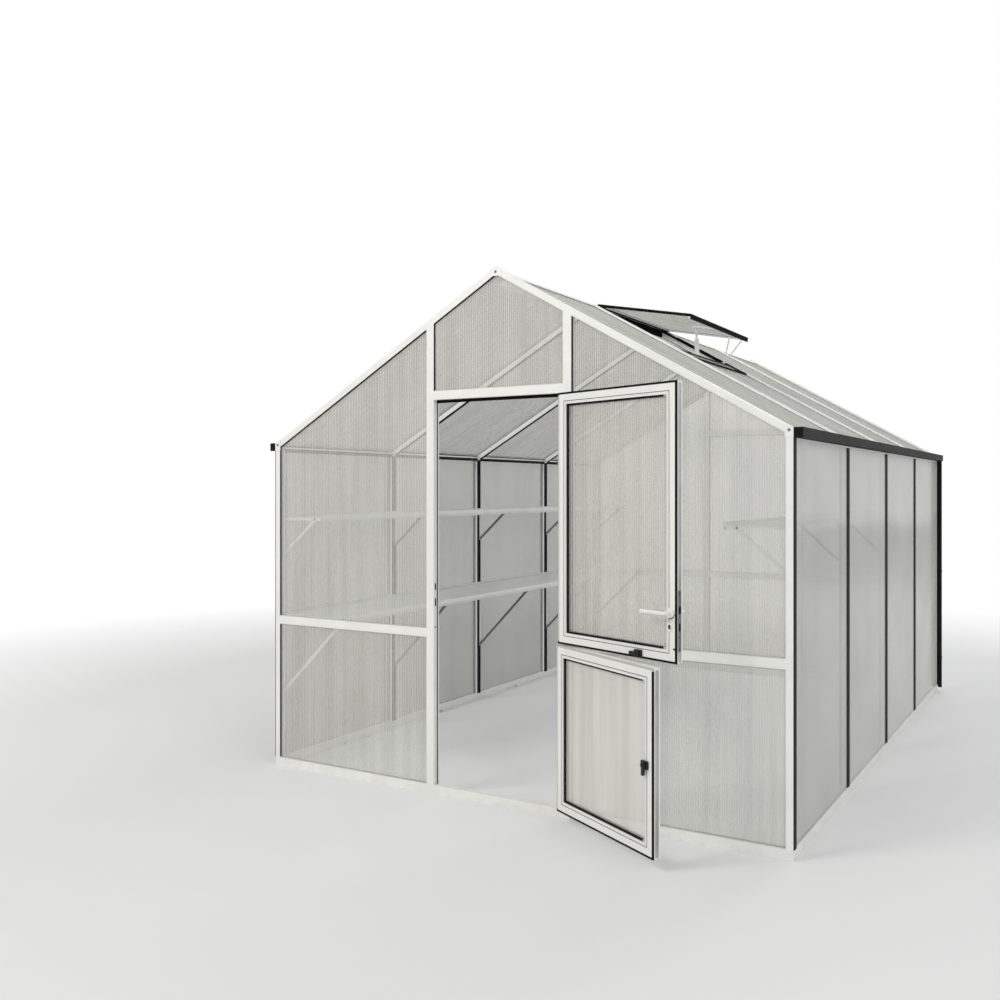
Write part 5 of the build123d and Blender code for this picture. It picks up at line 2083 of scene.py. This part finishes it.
@dataclass
class UpperLeaf(DoorLeaf):
    """Upper leaf, which also carries the lever handle and the lock."""

    lock_x: float = 681.0 * MM
    handle_z: float = 1004.0 * MM
    shadow_ring_radius: float = 21.0 * MM
    gasket_height: float = 1.4 * MM
    shadow_ring_drop: float = 4.0 * MM
    shadow_ring_sides: int = 40
    cylinder_z: float = 948.0 * MM
    rose_radius: float = 11.0 * MM
    rose_height: float = 5.0 * MM
    rose_bevel: float = 1.0 * MM
    rose_sides: int = 32
    plug_radius: float = 5.5 * MM
    plug_height: float = 3.0 * MM
    plug_bevel: float = 0.6 * MM
    plug_sides: int = 24
    oval: float = 1.7
    plate_bottom: float = 850.0 * MM
    plate_top: float = 1094.0 * MM
    plate_width: float = 16.0 * MM
    plate_thickness: float = 1.6 * MM
    plate_bevel: float = 0.5 * MM
    plate_screws: tuple[float, ...] = (1082.0 * MM, 908.0 * MM, 861.0 * MM)
    plate_screw_radius: float = 3.2 * MM
    plate_screw_height: float = 1.0 * MM
    bolts: tuple[Point, ...] = ((1016.0 * MM, 28.0 * MM, 3.0 * MM), (948.0 * MM, 31.0 * MM, 1.0 * MM))
    bolt_width: float = 10.0 * MM
    bolt_bevel: float = 0.4 * MM
    shoot_bolt: Pair = (700.0 * MM, 861.0 * MM)
    shoot_bolt_radius: float = 4.5 * MM
    shoot_bolt_height: float = 2.0 * MM

    def edge_lock(self) -> None:
        """Make the lock's plate on the free edge, its two bolts and its screws."""
        across = self.flat.across
        edge = Flat(self.flat.normal, Z, across)
        middle = (self.plate_bottom + self.plate_top) / 2
        plate = block(
            self.world(self.free_edge + self.plate_thickness / 2, self.depth, middle), edge,
            (self.plate_width, self.plate_top - self.plate_bottom, self.plate_thickness), self.plate_bevel,
        )
        self.piece("lock_plate", plate, Slot.METAL, self.finishes.steel)
        face = self.free_edge + self.plate_thickness
        bolts = [
            block(
                self.world(face + proud / 2, self.depth, level), edge, (self.bolt_width, tall, proud),
                self.bolt_bevel,
            )
            for level, tall, proud in self.bolts
        ]
        self.piece("lock_bolts", merge(bolts), Slot.BLACK, self.finishes.dark)
        screws = [(self.world(face, self.depth, level), across) for level in self.plate_screws]
        self.fasten(
            "lock_plate_screws", screws, self.plate_screw_radius, self.plate_screw_height, self.finishes.black
        )

    def both_faces(self, z: float, radius: float, height: float, sides: int, bevel: float = 0.0,
                   oval: float = 1.0, raised: float = 0.0) -> bpy.types.Mesh:
        """Make a round or oval piece of the lock on both faces of the leaf.

        Args:
            z: Height of its middle.
            radius: Its radius.
            height: How far it stands out.
            sides: Number of sides.
            bevel: Width of its eased rim.
            oval: Its height over its width.
            raised: Distance between the leaf and the piece.

        Returns:
            Mesh of both pieces.
        """
        normal = self.flat.normal
        return merge([
            drum(self.world(self.lock_x, level, z) + way * raised, way, radius, height, sides, bevel, oval)
            for level, way in ((self.outer, normal), (self.inner, -normal))
        ])

    def face_lock(self) -> None:
        """Make the black rings of painted shadow under the handle, the roses and plugs of the cylinder, and the
        shoot bolt's cap.
        """
        roses = self.both_faces(
            self.cylinder_z, self.rose_radius, self.rose_height, self.rose_sides, self.rose_bevel, self.oval
        )
        self.piece("cylinder_roses", roses, Slot.METAL, self.finishes.frame)
        # Painted shadow: a black ring on each face, dropped a little below the handle, for the shadow of the
        # lever's neck.
        shadow_rings = self.both_faces(
            self.handle_z - self.shadow_ring_drop, self.shadow_ring_radius, self.gasket_height, self.shadow_ring_sides
        )
        self.piece("rose_painted_shadows", shadow_rings, Slot.BLACK, self.finishes.black)
        plugs = self.both_faces(
            self.cylinder_z, self.plug_radius, self.plug_height, self.plug_sides, self.plug_bevel, self.oval,
            self.rose_height,
        )
        self.piece("cylinder_plugs", plugs, Slot.BLACK, self.finishes.black)
        x, z = self.shoot_bolt
        self.fasten(
            "shoot_bolt_cap", [(self.world(x, self.inner, z), -self.flat.normal)], self.shoot_bolt_radius,
            self.shoot_bolt_height, self.finishes.black,
        )

    def build(self) -> None:
        """Dress the leaf, the handle and the lock."""
        super().build()
        self.dress(self.finishes.frame, "handle_roses", "lever_handle")
        self.edge_lock()
        self.face_lock()


@dataclass
class StableDoor(Assembly):
    """The two leaves and the hinge halves on the door post."""

    screw_radius: float = 3.6 * MM
    screw_height: float = 2.0 * MM
    screw_up: float = 12.0 * MM
    screw_inset: float = 12.0 * MM
    plate: float = 3.0 * MM
    upper_opening: float = 159.5
    lower_opening: float = 150.0
    no_painted_head: float = -1.0
    lower_painted_head: float = 12.0 * MM

    def bracket_spots(self) -> list[Spot]:
        """Place the screws in the hinge plates on the post.

        Returns:
            Places and directions.
        """
        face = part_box("door_posts")[0].y - self.plate
        boxes = [box_of(mesh) for mesh in loose_parts("hinge_brackets")]
        return [
            (Vector((high.x - self.screw_inset, face, (low.z + high.z) / 2 + way * self.screw_up)), -Y)
            for low, high in boxes
            for way in (-1.0, 1.0)
        ]

    def build(self) -> None:
        """Build both leaves and dress the hinge halves."""
        self.dress(self.finishes.frame, "hinge_brackets")
        spots = self.bracket_spots()
        self.fasten("post_hinge_screws", spots, self.screw_radius, self.screw_height, self.finishes.zinc)
        UpperLeaf(
            self.shop, "upper_leaf", Body.UPPER_LATCH, self.upper_opening, self.finishes.upper_sheet,
            self.no_painted_head, body=Body.UPPER_LEAF,
        ).build()
        DoorLeaf(
            self.shop, "lower_leaf", Body.LOWER_LATCH, self.lower_opening, self.finishes.lower_sheet,
            self.lower_painted_head, body=Body.LOWER_LEAF,
        ).build()


# Stage


@dataclass(frozen=True)
class Lamp:
    """One soft lamp, turned to the middle of the house."""

    name: str
    place: Point
    power: float
    size: float
    colour: Colour = WHITE
    target: Point = (0.0, 1.2, 1.1)

    def build(self) -> None:
        """Hang the lamp."""
        data = bpy.data.lights.new(self.name, "AREA")
        data.energy = self.power
        data.size = self.size
        data.color = self.colour
        lamp = bpy.data.objects.new(self.name, data)
        lamp.location = self.place
        lamp.rotation_euler = (Vector(self.target) - Vector(self.place)).to_track_quat("-Z", "Y").to_euler()
        bpy.context.scene.collection.objects.link(lamp)


@dataclass
class Studio:
    """Floor, lamps, world and camera."""

    camera_place: Point = (2.470, -4.103, 1.496)
    level_view: float = 90.0
    yaw: float = 30.918
    sensor: float = 36.0
    lens: float = 36.414
    shift: float = -0.011
    far_end: float = 200.0
    floor_size: float = 80.0
    floor_level: float = -0.5 * MM
    sky: Colour = (0.97, 0.985, 1.0)
    sky_strength: float = 0.55
    lamps: tuple[Lamp, ...] = (
        Lamp("key_lamp", (-6.0, -9.0, 9.0), 620.0, 5.0, (1.0, 0.97, 0.92)),
        Lamp("fill_lamp", (9.0, -5.0, 6.0), 260.0, 6.0, (0.95, 0.98, 1.0)),
        Lamp("back_lamp", (2.0, 11.0, 8.0), 300.0, 6.0),
    )

    def camera(self) -> None:
        """Set the camera where the photograph was taken."""
        data = bpy.data.cameras.new("view")
        data.sensor_width = self.sensor
        data.lens = self.lens
        data.shift_y = self.shift
        data.clip_end = self.far_end
        camera = bpy.data.objects.new("view", data)
        camera.location = self.camera_place
        camera.rotation_euler = (math.radians(self.level_view), 0.0, math.radians(self.yaw))
        bpy.context.scene.collection.objects.link(camera)
        bpy.context.scene.camera = camera

    def floor(self) -> None:
        """Lay the floor just below the sills."""
        half = self.floor_size / 2
        corners = [(-half, -half), (half, -half), (half, half), (-half, half)]
        mesh = bpy.data.meshes.new("floor")
        mesh.from_pydata([(x, y, self.floor_level) for x, y in corners], [], [(0, 1, 2, 3)])
        mesh.materials.append(PaleFloor().build())
        floor = bpy.data.objects.new("floor", mesh)
        bpy.context.scene.collection.objects.link(floor)

    def world(self) -> None:
        """Light from all round, and show white to the camera, in gloss and through sheets."""
        sh = Shader(bpy.data.worlds.new("studio"), "World")
        soft = sh.add("Background", Color=(*self.sky, 1.0), Strength=self.sky_strength)
        white = sh.add("Background", Color=(*WHITE, 1.0), Strength=1.0)
        path = sh.add("LightPath").outputs
        seen = sh.math("MAXIMUM", path["Is Camera Ray"], path["Is Glossy Ray"])
        seen = sh.math("MAXIMUM", seen, path["Is Transmission Ray"])
        bpy.context.scene.world = sh.finish(sh.mix(seen, soft.outputs[0], white.outputs[0]))

    def build(self) -> None:
        """Set the stage."""
        self.camera()
        self.floor()
        self.world()
        for lamp in self.lamps:
            lamp.build()
        bpy.context.scene.view_settings.view_transform = "Standard"


def main() -> None:
    """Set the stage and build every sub-assembly in order."""
    logging.basicConfig(level=logging.INFO, format="%(name)s: %(message)s")
    Studio().build()
    shop = Workshop()
    for assembly in (GroundFrame, Gables, SideWalls, Roof, RoofVent, RainGoods, Shelving, StableDoor):
        log.info("building %s", assembly.__name__)
        assembly(shop).build()


if __name__ == "__main__":
    main()
